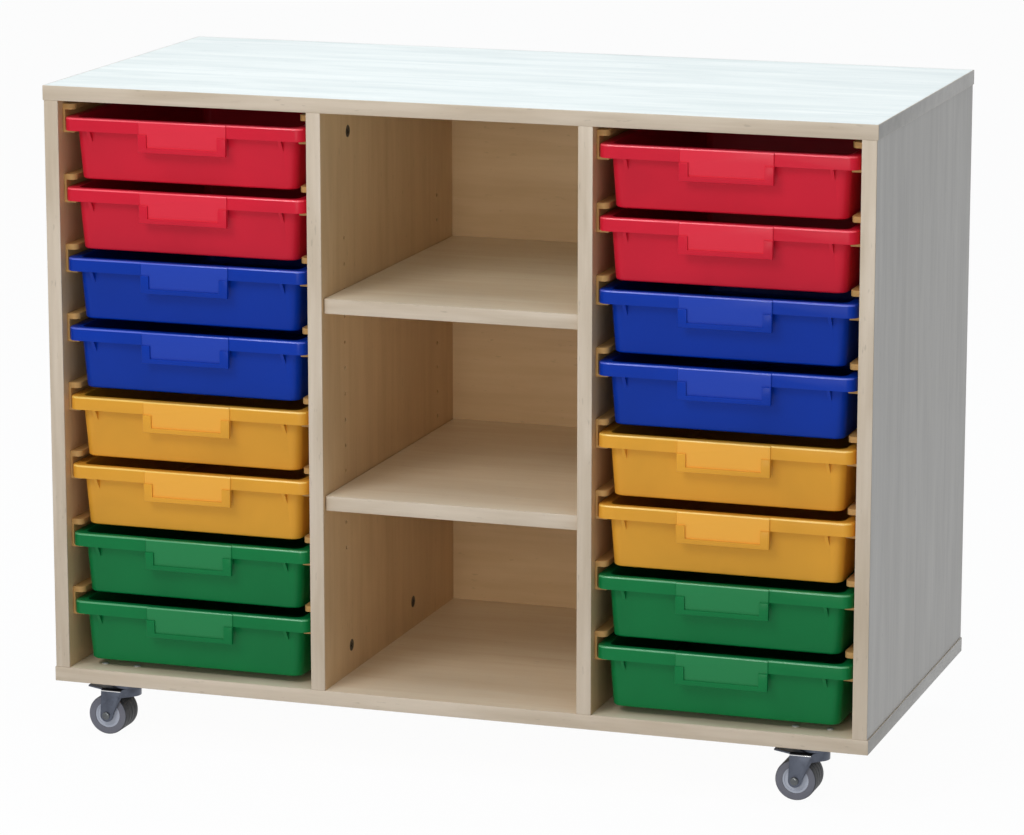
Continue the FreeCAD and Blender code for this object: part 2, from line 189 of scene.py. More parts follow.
class Paint:
    """A material or the surroundings under construction, its nodes written as Python expressions."""

    def __init__(self, name: str, surroundings: bool = False) -> None:
        """Start an empty node tree with an output.

        Args:
            name: Name of the material or of the surroundings.
            surroundings: Whether the surroundings are painted, and not a material.
        """
        self.owner = (bpy.data.worlds if surroundings else bpy.data.materials).new(name)
        self.owner.use_nodes = True
        self.tree = self.owner.node_tree
        self.tree.nodes.clear()
        self.output = self.tree.nodes.new("ShaderNodeOutputWorld" if surroundings else "ShaderNodeOutputMaterial")

    def node(
        self,
        kind: str,
        settings: Optional[dict] = None,
        inputs: Optional[dict[Union[str, int], Value]] = None,
        out: Union[str, int] = 0,
    ) -> Wire:
        """Add one node.

        Args:
            kind: The node's type.
            settings: Its properties.
            inputs: A value or a wire for each named or numbered socket.
            out: The output that is wanted.

        Returns:
            The wire from that output.
        """
        return Wire(self, add_node(self.tree, kind, settings, inputs).outputs[out])

    def maths(self, operation: str, first: Value, second: Value) -> Wire:
        """One Math node on two values."""
        return self.node("ShaderNodeMath", {"operation": operation}, {0: first, 1: second})

    def mixed(self, share: Value, first: Value, second: Value) -> Wire:
        """Blend two colours.

        Args:
            share: How much of the second colour there is, 0 to 1.
            first: Colour under the other.
            second: Colour that goes over it.

        Returns:
            The blended colour.
        """
        settings = {"data_type": "RGBA", "blend_type": "MIX", "clamp_factor": True}
        return self.node("ShaderNodeMix", settings, {0: share, 6: first, 7: second}, 2)

    def place(self, scale: Point = (1.0, 1.0, 1.0), shift: Point = (0.0, 0.0, 0.0)) -> Wire:
        """Object coordinates, scaled and shifted."""
        here = self.node("ShaderNodeTexCoord", out="Object")
        inputs = {"Vector": here, "Location": shift, "Scale": scale}
        return self.node("ShaderNodeMapping", {"vector_type": "POINT"}, inputs)

    def noise(self, where: Wire, noise: Noise) -> Wire:
        """Noise from 0 to 1 over some coordinates."""
        inputs = {
            "Vector": where,
            "Scale": noise.scale,
            "Detail": noise.detail,
            "Roughness": noise.rough,
            "Distortion": noise.warp,
        }
        return self.node("ShaderNodeTexNoise", {"noise_dimensions": "3D"}, inputs, "Fac")

    def marked(self) -> Wire:
        """1 on the marked faces of a mesh, 0 elsewhere."""
        return self.node("ShaderNodeAttribute", {"attribute_name": MARK}, out="Fac")

    def bump(self, height: Wire, distance: float) -> Wire:
        """Normal that follows a height of this many metres."""
        inputs = {"Strength": 1.0, "Distance": distance, "Height": height}
        return self.node("ShaderNodeBump", {}, inputs, "Normal")

    def ended(self, shader: Wire) -> Union[bpy.types.Material, bpy.types.World]:
        """Send a shader to the output, and give back what was painted."""
        self.tree.links.new(shader.socket, self.output.inputs["Surface"])
        return self.owner

    def surface(self, inputs: dict[str, Value]) -> bpy.types.Material:
        """End the paint with one Principled shader."""
        return self.ended(self.node("ShaderNodeBsdfPrincipled", {}, inputs))


class Grain(Enum):
    """Direction of the printed grain on a board, as the number of its axis."""

    ALONG_X = 0
    ALONG_Z = 2

    def stretched(self, share: float) -> Point:
        """Scale of a pattern that is drawn out along the grain; a smaller share is longer."""
        return tuple(share if axis == self.value else 1.0 for axis in range(3))


class Shade(Enum):
    """Tones of the maple print, pale and deep, with light and shade painted in: TOP paler and cooler as painted
    light and reflection, SIDE greyer and INSIDE warmer and darker as painted shade, SHELF paler as painted light;
    EDGE, on the front edges, is the print's own tone.
    """

    TOP = (tone(247, 250, 240), tone(216, 224, 216))
    SIDE = (tone(180, 174, 163), tone(158, 152, 142))
    EDGE = (tone(216, 200, 178), tone(182, 163, 136))
    INSIDE = (tone(221, 188, 143), tone(203, 168, 122))
    SHELF = (tone(243, 228, 200), tone(230, 209, 177))


@dataclass(frozen=True)
class MapleFinish:
    """Maple print under melamine: quiet streaks, pale clouding and a few small marks."""

    name: str
    grain: Grain
    sheet_place: Point = (0.0, 0.0, 0.0)   # where on the printed sheet the board was cut
    shade: Shade = Shade.INSIDE
    marked_shade: Optional[Shade] = None   # tones of the marked faces, where they differ: painted light or shade of those faces
    streak_stretch: float = 0.045          # share to which a pattern is drawn out along the grain
    cloud_stretch: float = 0.16
    fleck_stretch: float = 0.22
    streak: Noise = Noise(130.0, 5.0, 0.62, 0.25)
    band: Noise = Noise(34.0, 3.0, 0.5, 0.6)
    cloud: Noise = Noise(11.0, 4.0, 0.55, 0.8)
    patch: Noise = Noise(38.0, 2.0, 0.5, 0.3)
    fleck: Noise = Noise(260.0, 2.0)
    deep_share: float = 0.1                # share of the deep tone before any pattern
    cloud_weight: float = 0.34             # what each pattern adds to that share
    band_weight: float = 0.26
    streak_weight: float = 0.24
    patch_weight: float = 0.3
    fleck_weight: float = 0.35
    knot_weight: float = 0.45
    knots_a_metre: float = 7.0
    knot_reach: float = 0.2                # share of the way to the next knot
    knot_blur: float = 0.35
    knot_depth: float = 0.62               # brightness of a knot against the deep tone
    roughness: float = 0.36
    streak_roughness: float = 0.1
    relief: float = 0.02 * MM

    def material(self) -> bpy.types.Material:
        """Make the material."""
        paint = Paint(self.name)
        streaks_at, clouds_at, flecks_at = (
            paint.place(self.grain.stretched(share), self.sheet_place)
            for share in (self.streak_stretch, self.cloud_stretch, self.fleck_stretch)
        )
        streak = paint.noise(streaks_at, self.streak)
        band = paint.noise(streaks_at, self.band)
        cloud = paint.noise(clouds_at, self.cloud)
        patch = paint.noise(clouds_at, self.patch)
        fleck = paint.noise(flecks_at, self.fleck)
        share = self.deep_share + self.cloud_weight * (cloud - 0.3) / 0.4 + self.band_weight * (band - 0.5) / 0.3
        share = share + self.streak_weight * (streak - 0.5) / 0.3 + self.patch_weight * patch.rise(0.42, 0.2)
        share = share.held()
        flecks = fleck.rise(0.68, 0.08) * self.fleck_weight
        knots = paint.node(
            "ShaderNodeTexVoronoi",
            {"feature": "SMOOTH_F1"},
            {"Vector": clouds_at, "Scale": self.knots_a_metre, "Smoothness": self.knot_blur, "Randomness": 1.0},
            "Distance",
        )
        knot = (1.0 - knots / self.knot_reach).held() ** 2.0 * cloud.rise(0.5, 0.12) * self.knot_weight
        spots = (flecks + knot).held()
        colour = self._tinted(paint, self.shade, share, spots)
        if self.marked_shade is not None:
            other = self._tinted(paint, self.marked_shade, share, spots)
            colour = paint.mixed(paint.marked().held(), colour, other)
        return paint.surface({
            "Base Color": colour,
            "Roughness": self.roughness + self.streak_roughness * (streak - 0.5),
            "Normal": paint.bump(streak, self.relief),
        })

    def _tinted(self, paint: Paint, shade: Shade, share: Wire, spots: Wire) -> Wire:
        """Colour of the print in one shade, from its share of deep tone and its dark spots."""
        pale, deep = shade.value
        return paint.mixed(spots, paint.mixed(share, pale, deep), scaled(deep, self.knot_depth))


@dataclass(frozen=True)
class MouldedPlastic:
    """Injection-moulded plastic with a fine satin texture and slight flow marks."""

    name: str
    colour: Colour
    roughness: float = 0.3
    sheen: float = 0.14
    plate_painted_light: float = 0.1             # how much paler the handle plate's faces, marked 1, are painted, as painted light
    edge_painted_highlight: float = 0.45              # how much paler the rim's front top edge, marked 2, is painted, as a painted highlight
    lift: float = 0.16              # white that a paler face gains, to each share that it is paler by
    polish_gloss: float = 0.06
    coat: float = 0.8               # on the rim's front top edge, marked 2
    coat_roughness: float = 0.15
    cloud: Noise = Noise(9.0, 3.0, 0.5, 0.4)
    cloud_roughness: float = 0.08
    grain: Noise = Noise(1.0 / (0.7 * MM), 2.0, 0.6)
    grain_roughness: float = 0.12
    grain_depth: float = 0.012 * MM
    flow: float = 0.05              # half of how much darker the flow marks are

    def material(self) -> bpy.types.Material:
        """Make the material."""
        paint = Paint(self.name)
        here = paint.place()
        cloud = paint.noise(here, self.cloud)
        grain = paint.noise(here, self.grain)
        moulded = paint.mixed(cloud.rise(0.35, 0.3), self.colour, scaled(self.colour, 1.0 - 2.0 * self.flow))
        # Marked faces are painted paler: 1 the handle plate, as painted light, 2 the rim's front top edge, as a
        # painted highlight.
        plate_polish_and_light = paint.marked().held()
        edge_highlight = (paint.marked() - 1.0).held()
        colour = paint.mixed(plate_polish_and_light, moulded, self._paler(self.plate_painted_light))
        rough = self.roughness + self.grain_roughness * (grain - 0.5) + self.cloud_roughness * (cloud - 0.5)
        return paint.surface({
            "Base Color": paint.mixed(edge_highlight, colour, self._paler(self.edge_painted_highlight)),
            "Roughness": rough - self.polish_gloss * plate_polish_and_light,
            "Specular IOR Level": self.sheen,
            "Coat Weight": edge_highlight * self.coat,
            "Coat Roughness": self.coat_roughness,
            "Normal": paint.bump(grain, self.grain_depth),
        })

    def _paler(self, share: float) -> Colour:
        """The plastic's colour, paler by this share."""
        return scaled(self.colour, 1.0 + share, self.lift * share)


@dataclass(frozen=True)
class PlatedSteel:
    """Pressed steel under blue zinc plating, clouded and a little scuffed."""

    name: str
    colour: Colour = tone(88, 93, 105)
    stain: Colour = tone(54, 57, 67)
    painted_shade: Colour = tone(22, 22, 26)    # marked faces: near-black painted shade
    roughness: float = 0.36
    metal: float = 0.8
    cloud: Noise = Noise(70.0, 4.0, 0.6, 0.5)
    scuff: Noise = Noise(900.0, 2.0)
    scuff_stretch: Point = (1.0, 1.0, 0.12)
    stain_share: float = 0.6
    cloud_roughness: float = 0.25
    scuff_roughness: float = 0.1
    scuff_depth: float = 0.01 * MM

    def material(self) -> bpy.types.Material:
        """Make the material."""
        paint = Paint(self.name)
        cloud = paint.noise(paint.place(), self.cloud)
        scuff = paint.noise(paint.place(self.scuff_stretch), self.scuff)
        plated = paint.mixed(cloud.rise(0.42, 0.3) * self.stain_share, self.colour, self.stain)
        rough = self.roughness + self.cloud_roughness * (cloud - 0.5) + self.scuff_roughness * (scuff - 0.5)
        return paint.surface({
            "Base Color": paint.mixed(paint.marked().held(), plated, self.painted_shade),
            "Metallic": self.metal,
            "Roughness": rough,
            "Normal": paint.bump(scuff, self.scuff_depth),
        })


@dataclass(frozen=True)
class CastorRubber:
    """Grey non-marking tread, matt, with dust in its grooves."""

    name: str
    # The tread is painted darker than the wheel's sides: painted shade.
    colour: Colour = tone(46, 48, 53)
    side: Colour = tone(108, 109, 119)   # marked faces: the sides of the wheel
    dust: Colour = tone(126, 125, 126)
    dust_share: float = 0.25
    cloud: Noise = Noise(60.0, 4.0, 0.6)
    fine: Noise = Noise(1400.0, 2.0)
    roughness: float = 0.6
    fine_roughness: float = 0.2
    relief: float = 0.03 * MM

    def material(self) -> bpy.types.Material:
        """Make the material."""
        paint = Paint(self.name)
        here = paint.place()
        cloud = paint.noise(here, self.cloud)
        fine = paint.noise(here, self.fine)
        bare = paint.mixed(paint.marked(), self.colour, self.side)
        return paint.surface({
            "Base Color": paint.mixed(cloud.rise(0.5, 0.3) * self.dust_share, bare, self.dust),
            "Roughness": self.roughness + self.fine_roughness * (fine - 0.5),
            "Normal": paint.bump(fine, self.relief),
        })


# ------------------------------------------------------------------------------------- modelling
@dataclass
class Form:
    """A closed shape as plain corners and faces, before it becomes a mesh."""

    corners: list[Vector]
    faces: list[tuple[int, ...]]

    @classmethod
    def block(cls, low: Sequence[float], high: Sequence[float]) -> "Form":
        """Plain block between two corners, to be rounded or cut."""
        return cls.frustum((low[0], high[0], low[1], high[1]), (low[0], high[0], low[1], high[1]), low[2], high[2])

    @classmethod
    def frustum(cls, bottom: Sequence[float], top: Sequence[float], z_bottom: float, z_top: float) -> "Form":
        """Block whose section (x0, x1, y0, y1) changes evenly from bottom to top."""
        corners = []
        for (x0, x1, y0, y1), z in ((bottom, z_bottom), (top, z_top)):
            corners += [Vector((x0, y0, z)), Vector((x1, y0, z)), Vector((x1, y1, z)), Vector((x0, y1, z))]
        sides = [(i, (i + 1) % 4, 4 + (i + 1) % 4, 4 + i) for i in range(4)]
        return cls(corners, [(3, 2, 1, 0), (4, 5, 6, 7)] + sides)

    @classmethod
    def loft(cls, rings: Sequence[Sequence[Vector]], closed_ends: bool = True) -> "Form":
        """Skin over rings of corners with the same count.

        Args:
            rings: Rings in order along the skin.
            closed_ends: Whether the first and last ring are filled.

        Returns:
            The form.
        """
        count = len(rings[0])
        corners = [Vector(corner) for ring in rings for corner in ring]
        faces = []
        for level in range(len(rings) - 1):
            low, high = level * count, (level + 1) * count
            for i in range(count):
                j = (i + 1) % count
                faces.append((low + i, low + j, high + j, high + i))
        if closed_ends:
            last = (len(rings) - 1) * count
            faces.append(tuple(reversed(range(count))))
            faces.append(tuple(range(last, last + count)))
        return cls(corners, faces)

    @classmethod
    def prism(cls, outline: Sequence[Sequence[float]], axis: int, start: float, end: float) -> "Form":
        """Outline of points in the plane across one axis, given its thickness along that axis."""
        rings = []
        for depth in (start, end):
            ring = []
            for first, second in outline:
                values = [first, second]
                values.insert(axis, depth)
                ring.append(Vector(values))
            rings.append(ring)
        return cls.loft(rings)

    @classmethod
    def turned(cls, profile: Sequence[Spot], steps: int) -> "Form":
        """Profile of (radius, height) points turned about Z; it starts and ends on a flat end or a bore.

        Args:
            profile: The points. A closed bored shape repeats its first point at the end.
            steps: Number of sides.

        Returns:
            The form.
        """
        turns = [2.0 * math.pi * i / steps for i in range(steps)]
        rings = [[Vector((r * math.cos(a), r * math.sin(a), z)) for a in turns] for r, z in profile]
        return cls.loft(rings, closed_ends=profile[0] != profile[-1])

    def moved(self, change: Matrix) -> "Form":
        """The same form in another place."""
        return Form([change @ corner for corner in self.corners], self.faces)

    def with_(self, *others: "Form") -> "Form":
        """This form and others as one."""
        corners, faces = list(self.corners), list(self.faces)
        for other in others:
            start = len(corners)
            corners += other.corners
            faces += [tuple(start + i for i in face) for face in other.faces]
        return Form(corners, faces)

    def rounded(
        self,
        radius: float,
        steps: int = 2,
        chosen: Optional[Callable[[Vector, Vector], bool]] = None,
    ) -> "Form":
        """Round the form's edges.

        Args:
            radius: Radius of the rounding.
            steps: Number of faces across it.
            chosen: Says, from an edge's two ends, whether it is rounded. By default every sharp edge is.

        Returns:
            The rounded form.
        """
        work = bmesh.new()
        self._fill(work)
        edges = [
            edge
            for edge in work.edges
            if edge.calc_face_angle(0.0) > SMOOTH_ANGLE
            and (chosen is None or chosen(edge.verts[0].co, edge.verts[1].co))
        ]
        bmesh.ops.bevel(work, geom=edges, offset=radius, segments=steps, profile=0.5, affect="EDGES")
        return Form.read(work)

    @classmethod
    def read(cls, work: bmesh.types.BMesh) -> "Form":
        """Take the corners and faces out of a bmesh and free it."""
        work.verts.index_update()
        form = cls([v.co.copy() for v in work.verts], [tuple(v.index for v in f.verts) for f in work.faces])
        work.free()
        return form

    @classmethod
    def of_node(cls, node: str) -> "Form":
        """Merged copy of a CAD node's mesh, with its flat faces whole."""
        work = bmesh.new()
        work.from_mesh(frame["nodes"][node].data)
        bmesh.ops.remove_doubles(work, verts=work.verts, dist=JOIN_DISTANCE)
        bmesh.ops.dissolve_limit(work, angle_limit=FLAT_ANGLE, verts=work.verts, edges=work.edges)
        return cls.read(work)

    def mesh(self, name: str) -> bpy.types.Mesh:
        """Make a mesh with its faces outwards."""
        work = bmesh.new()
        self._fill(work)
        bmesh.ops.remove_doubles(work, verts=work.verts, dist=JOIN_DISTANCE)
        bmesh.ops.recalc_face_normals(work, faces=work.faces)
        made = bpy.data.meshes.new(name)
        work.to_mesh(made)
        work.free()
        return made

    def _fill(self, work: bmesh.types.BMesh) -> None:
        """Put the corners and faces into a bmesh."""
        verts = [work.verts.new(corner) for corner in self.corners]
        for face in self.faces:
            work.faces.new([verts[i] for i in face])
        bmesh.ops.recalc_face_normals(work, faces=work.faces)


def mark(mesh: bpy.types.Mesh, chosen: Callable[[Vector, Vector], float]) -> None:
    """Mark some faces of a mesh, so that its finish can treat them apart.

    Args:
        mesh: The mesh.
        chosen: Gives, from a face's centre and normal, the face's mark, or 0.
    """
    layer = mesh.attributes.new(MARK, "FLOAT", "FACE")
    layer.data.foreach_set("value", [float(chosen(face.center, face.normal)) for face in mesh.polygons])


def arc(centre: Spot, radius: float, start: float, end: float, steps: int) -> list[Spot]:
    """Points of an arc in a plane.

    Args:
        centre: Its centre.
        radius: Its radius.
        start: First angle in degrees.
        end: Last angle in degrees.
        steps: Number of chords.

    Returns:
        The points, both ends among them.
    """
    turns = [math.radians(start + (end - start) * i / steps) for i in range(steps + 1)]
    return [(centre[0] + radius * math.cos(a), centre[1] + radius * math.sin(a)) for a in turns]


def rounded_ring(x: float, y0: float, y1: float, radius: float, z: float, steps: int = 7) -> list[Vector]:
    """Rounded rectangle at one height, centred across X.

    Args:
        x: Half its width.
        y0: Its front.
        y1: Its back.
        radius: Radius of its corners.
        z: Its height.
        steps: Chords at each corner.

    Returns:
        Its corners in order.
    """
    right, left, back, front = x - radius, radius - x, y1 - radius, y0 + radius
    ring = []
    for centre, start in (((right, back), 0), ((left, back), 90), ((left, front), 180), ((right, front), 270)):
        ring += [Vector((px, py, z)) for px, py in arc(centre, radius, start, start + 90, steps)]
    return ring


def quarter_turn(axis: str, side: int = 1) -> Matrix:
    """Quarter turn about an axis, the other way where the side is -1."""
    return Matrix.Rotation(math.radians(90.0 * side), 4, axis)


def shown(name: str, mesh: bpy.types.Mesh) -> bpy.types.Object:
    """Put a mesh in the scene as an object at the origin."""
    thing = bpy.data.objects.new(name, mesh)
    bpy.context.scene.collection.objects.link(thing)
    return thing


def flattened(thing: bpy.types.Object, name: str) -> bpy.types.Mesh:
    """Mesh of an object as its modifiers leave it; the object goes.

    Args:
        thing: Object with live modifiers.
        name: Name of the mesh.

    Returns:
        The plain mesh.
    """
    bpy.context.view_layer.update()
    evaluated = thing.evaluated_get(bpy.context.evaluated_depsgraph_get())
    made = bpy.data.meshes.new_from_object(evaluated)
    made.name = name
    bpy.data.objects.remove(thing)
    return made


def carved(
    base: bpy.types.Mesh,
    added: Optional[bpy.types.Mesh],
    removed: Optional[bpy.types.Mesh],
) -> bpy.types.Mesh:
    """Join one mesh to another and cut a third out of both.

    Args:
        base: Mesh that is worked on.
        added: Mesh that is joined, if any.
        removed: Mesh that is cut out, if any.

    Returns:
        The worked mesh.
    """
    work = shown(base.name + "_work", base)
    helpers = []
    for operation, tool in (("UNION", added), ("DIFFERENCE", removed)):
        if tool is None:
            continue
        helper = shown(tool.name + "_tool", tool)
        helpers.append(helper)
        step = work.modifiers.new(operation.lower(), "BOOLEAN")
        step.operation = operation
        step.solver = "EXACT"
        step.object = helper
    made = flattened(work, base.name + "_carved")
    for helper in helpers:
        bpy.data.objects.remove(helper)
    return made


# ------------------------------------------------------------------------------------- patterns
class Pattern:
    """Geometry Nodes tree that lays copies of one piece out in rows and columns, each turned a little."""

    INPUTS = {
        "Columns": "NodeSocketInt",
        "Rows": "NodeSocketInt",
        "Start": "NodeSocketVector",
        "Column Step": "NodeSocketVector",
        "Row Step": "NodeSocketVector",
        "Axis": "NodeSocketVector",
        "Most Turn": "NodeSocketFloat",
        "Seed": "NodeSocketInt",
        "Finish": "NodeSocketMaterial",
    }
    SEED = 7

    def __init__(self) -> None:
        """Build the tree once."""
        self.tree = bpy.data.node_groups.new("rows_and_columns", "GeometryNodeTree")
        face = self.tree.interface
        face.new_socket("Piece", in_out="INPUT", socket_type="NodeSocketGeometry")
        self.keys = {
            name: face.new_socket(name, in_out="INPUT", socket_type=kind).identifier
            for name, kind in self.INPUTS.items()
        }
        face.new_socket("Pattern", in_out="OUTPUT", socket_type="NodeSocketGeometry")
        self._wire()

    def _add(self, kind: str, settings: Optional[dict] = None, inputs: Optional[dict] = None) -> bpy.types.Node:
        """Add one node with its settings and inputs."""
        return add_node(self.tree, kind, settings, inputs)

    def _maths(self, operation: str, first: Value, second: Value) -> bpy.types.NodeSocket:
        """Outcome of one Math node."""
        return self._add("ShaderNodeMath", {"operation": operation}, {0: first, 1: second}).outputs[0]

    def _vector(self, operation: str, inputs: dict) -> bpy.types.NodeSocket:
        """Outcome of one Vector Math node."""
        return self._add("ShaderNodeVectorMath", {"operation": operation}, inputs).outputs[0]

    def _wire(self) -> None:
        """Copy number n stands at (n mod columns) column steps and (n // columns) row steps from the start."""
        given = self._add("NodeGroupInput").outputs
        count = self._maths("MULTIPLY", given["Columns"], given["Rows"])
        points = self._add("GeometryNodePoints", inputs={"Count": count}).outputs[0]
        number = self._add("GeometryNodeInputIndex").outputs[0]
        row = self._maths("FLOOR", self._maths("DIVIDE", self._maths("ADD", number, 0.5), given["Columns"]), 0.0)
        column = self._maths("SUBTRACT", number, self._maths("MULTIPLY", row, given["Columns"]))
        across = self._vector("SCALE", {0: given["Column Step"], "Scale": column})
        along = self._vector("SCALE", {0: given["Row Step"], "Scale": row})
        place = self._vector("ADD", {0: self._vector("ADD", {0: across, 1: along}), 1: given["Start"]})
        laid = self._add("GeometryNodeSetPosition", inputs={0: points, "Position": place}).outputs[0]
        least = self._maths("MULTIPLY", given["Most Turn"], -1.0)
        draw = {2: least, 3: given["Most Turn"], "Seed": given["Seed"]}
        angle = self._add("FunctionNodeRandomValue", {"data_type": "FLOAT"}, draw).outputs[1]
        inputs = {"Axis": given["Axis"], "Angle": angle}
        turn = self._add("FunctionNodeAxisAngleToRotation", inputs=inputs).outputs[0]
        inputs = {"Points": laid, "Instance": given["Piece"], "Rotation": turn}
        copies = self._add("GeometryNodeInstanceOnPoints", inputs=inputs).outputs[0]
        real = self._add("GeometryNodeRealizeInstances", inputs={0: copies}).outputs[0]
        dressed = self._add("GeometryNodeSetMaterial", inputs={0: real, "Material": given["Finish"]})
        self._add("NodeGroupOutput", inputs={0: dressed.outputs[0]})

    def laid(
        self,
        piece: bpy.types.Mesh,
        columns: tuple[int, Sequence[float]],
        rows: tuple[int, Sequence[float]] = (1, (0.0, 0.0, 0.0)),
        finish: Optional[bpy.types.Material] = None,
        start: Sequence[float] = (0.0, 0.0, 0.0),
        turn: tuple[Sequence[float], float] = ((0.0, 0.0, 1.0), 0.0),
    ) -> bpy.types.Mesh:
        """Lay a piece out.

        Args:
            piece: The piece. Copies turn about its origin.
            columns: Number of copies in a row, and the step between them.
            rows: Number of rows, and the step between them.
            finish: Material of all the copies.
            start: Place of the first copy's origin.
            turn: Axis that copies turn about, and the most that one turns, in radians.

        Returns:
            One plain mesh with every copy.
        """
        thing = shown(piece.name + "_pattern", piece)
        step = thing.modifiers.new("pattern", "NODES")
        step.node_group = self.tree
        values = {
            "Columns": columns[0],
            "Rows": rows[0],
            "Start": tuple(start),
            "Column Step": tuple(columns[1]),
            "Row Step": tuple(rows[1]),
            "Axis": tuple(turn[0]),
            "Most Turn": turn[1],
            "Seed": self.SEED,
        }
        for name, value in values.items():
            step[self.keys[name]] = value
        if finish is not None:
            step[self.keys["Finish"]] = finish
        return flattened(thing, piece.name + "_laid")


@dataclass
class Dresser:
    """Finishes pieces the same way: smooth shading, material, body and the node replaced."""

    pieces: int = 0

    def hang(
        self,
        name: str,
        mesh: bpy.types.Mesh,
        finish: bpy.types.Material,
        slot: str,
        body: str,
        stands_for: Sequence[str] = (),
    ) -> bpy.types.Object:
        """Put a finished piece on its body.

        Args:
            name: Name of the piece.
            mesh: Its mesh, in the part's frame.
            finish: Its material.
            slot: The record's slot of that material; not used.
            body: The body that it rides on.
            stands_for: CAD nodes that it replaces.

        Returns:
            The piece.
        """
        mesh.name = name
        mesh.materials.clear()
        mesh.materials.append(finish)
        for polygon in mesh.polygons:
            polygon.material_index = 0
        mesh.shade_smooth()
        mesh.set_sharp_from_angle(angle=SMOOTH_ANGLE)
        thing = shown(name, mesh)
        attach(thing, body)
        if stands_for:
            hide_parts(*stands_for)
        self.pieces += 1
        LOG.info("%s on %s: %d faces", name, body, len(mesh.polygons))
        return thing


# ------------------------------------------------------------------------------------- carcass
@dataclass
class Board:
    """One melamine-faced board with an edging strip on the edges that show."""

    node: str
    grain: Grain
    sheet_place: Point
    shade: Shade = Shade.INSIDE
    shaded_face_side: float = 0.0     # 1 or -1 where the face to the right or left looks into a bay; that face gets the INSIDE tones, as painted shade
    edging_all_round: bool = False
    bored: Optional[Callable[[], bpy.types.Mesh]] = None
    edging: float = 1.2 * MM
    edge_round: float = 0.7 * MM
    seam: float = 0.05 * MM
    sheet_shift: float = 0.31  # from the board's place on the printed sheet to its edging's

    def build(self, dresser: Dresser) -> None:
        """Make the board's core and its edging."""
        low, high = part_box(self.node)
        core_low, core_high = Vector(low), Vector(high)
        core_low.y += self.edging
        if self.edging_all_round:
            core_low.x += self.edging
            core_high -= Vector((self.edging, self.edging, 0.0))
        core = Form.block(core_low, core_high).rounded(self.seam * 2, 1).mesh(self.node + "_core")
        if self.bored is not None:
            core = carved(core, None, self.bored())
        # Faces that look into a bay take the warmer, darker INSIDE tones: painted shade.
        inside = Shade.INSIDE if self.shaded_face_side else None
        mark(core, lambda centre, normal: normal.x * self.shaded_face_side > FACING)
        finish = MapleFinish(self.node + "_maple", self.grain, self.sheet_place, self.shade, inside).material()
        dresser.hang(self.node + "_board", core, finish, "maple_board", "carcass", [self.node])
        strips = self._strips(low, high)
        place = tuple(value + self.sheet_shift for value in self.sheet_place)
        # The end faces of edging all round take the grey SIDE tones: painted shade on faces that look to the side.
        banding = MapleFinish(self.node + "_edging", self.grain, place, Shade.EDGE, Shade.SIDE).material()
        edging = strips[0].with_(*strips[1:]).mesh(self.node + "_edging")
        mark(edging, lambda centre, normal: abs(normal.x) > FACING and self.edging_all_round)
        dresser.hang(self.node + "_edging", edging, banding, "maple_board", "carcass")

    def _strips(self, low: Vector, high: Vector) -> list[Form]:
        """Edging strips, a hair off the core so that the seam shows."""
        gap = self.edging - self.seam
        boxes = [(low, Vector((high.x, low.y + gap, high.z)))]
        if self.edging_all_round:
            inside = low.y + self.edging
            boxes.append((Vector((low.x, high.y - gap, low.z)), high))
            boxes.append((Vector((low.x, inside, low.z)), Vector((low.x + gap, high.y - self.edging, high.z))))
            boxes.append((Vector((high.x - gap, inside, low.z)), Vector((high.x, high.y - self.edging, high.z))))
        return [Form.block(a, b).rounded(self.edge_round, 3) for a, b in boxes]


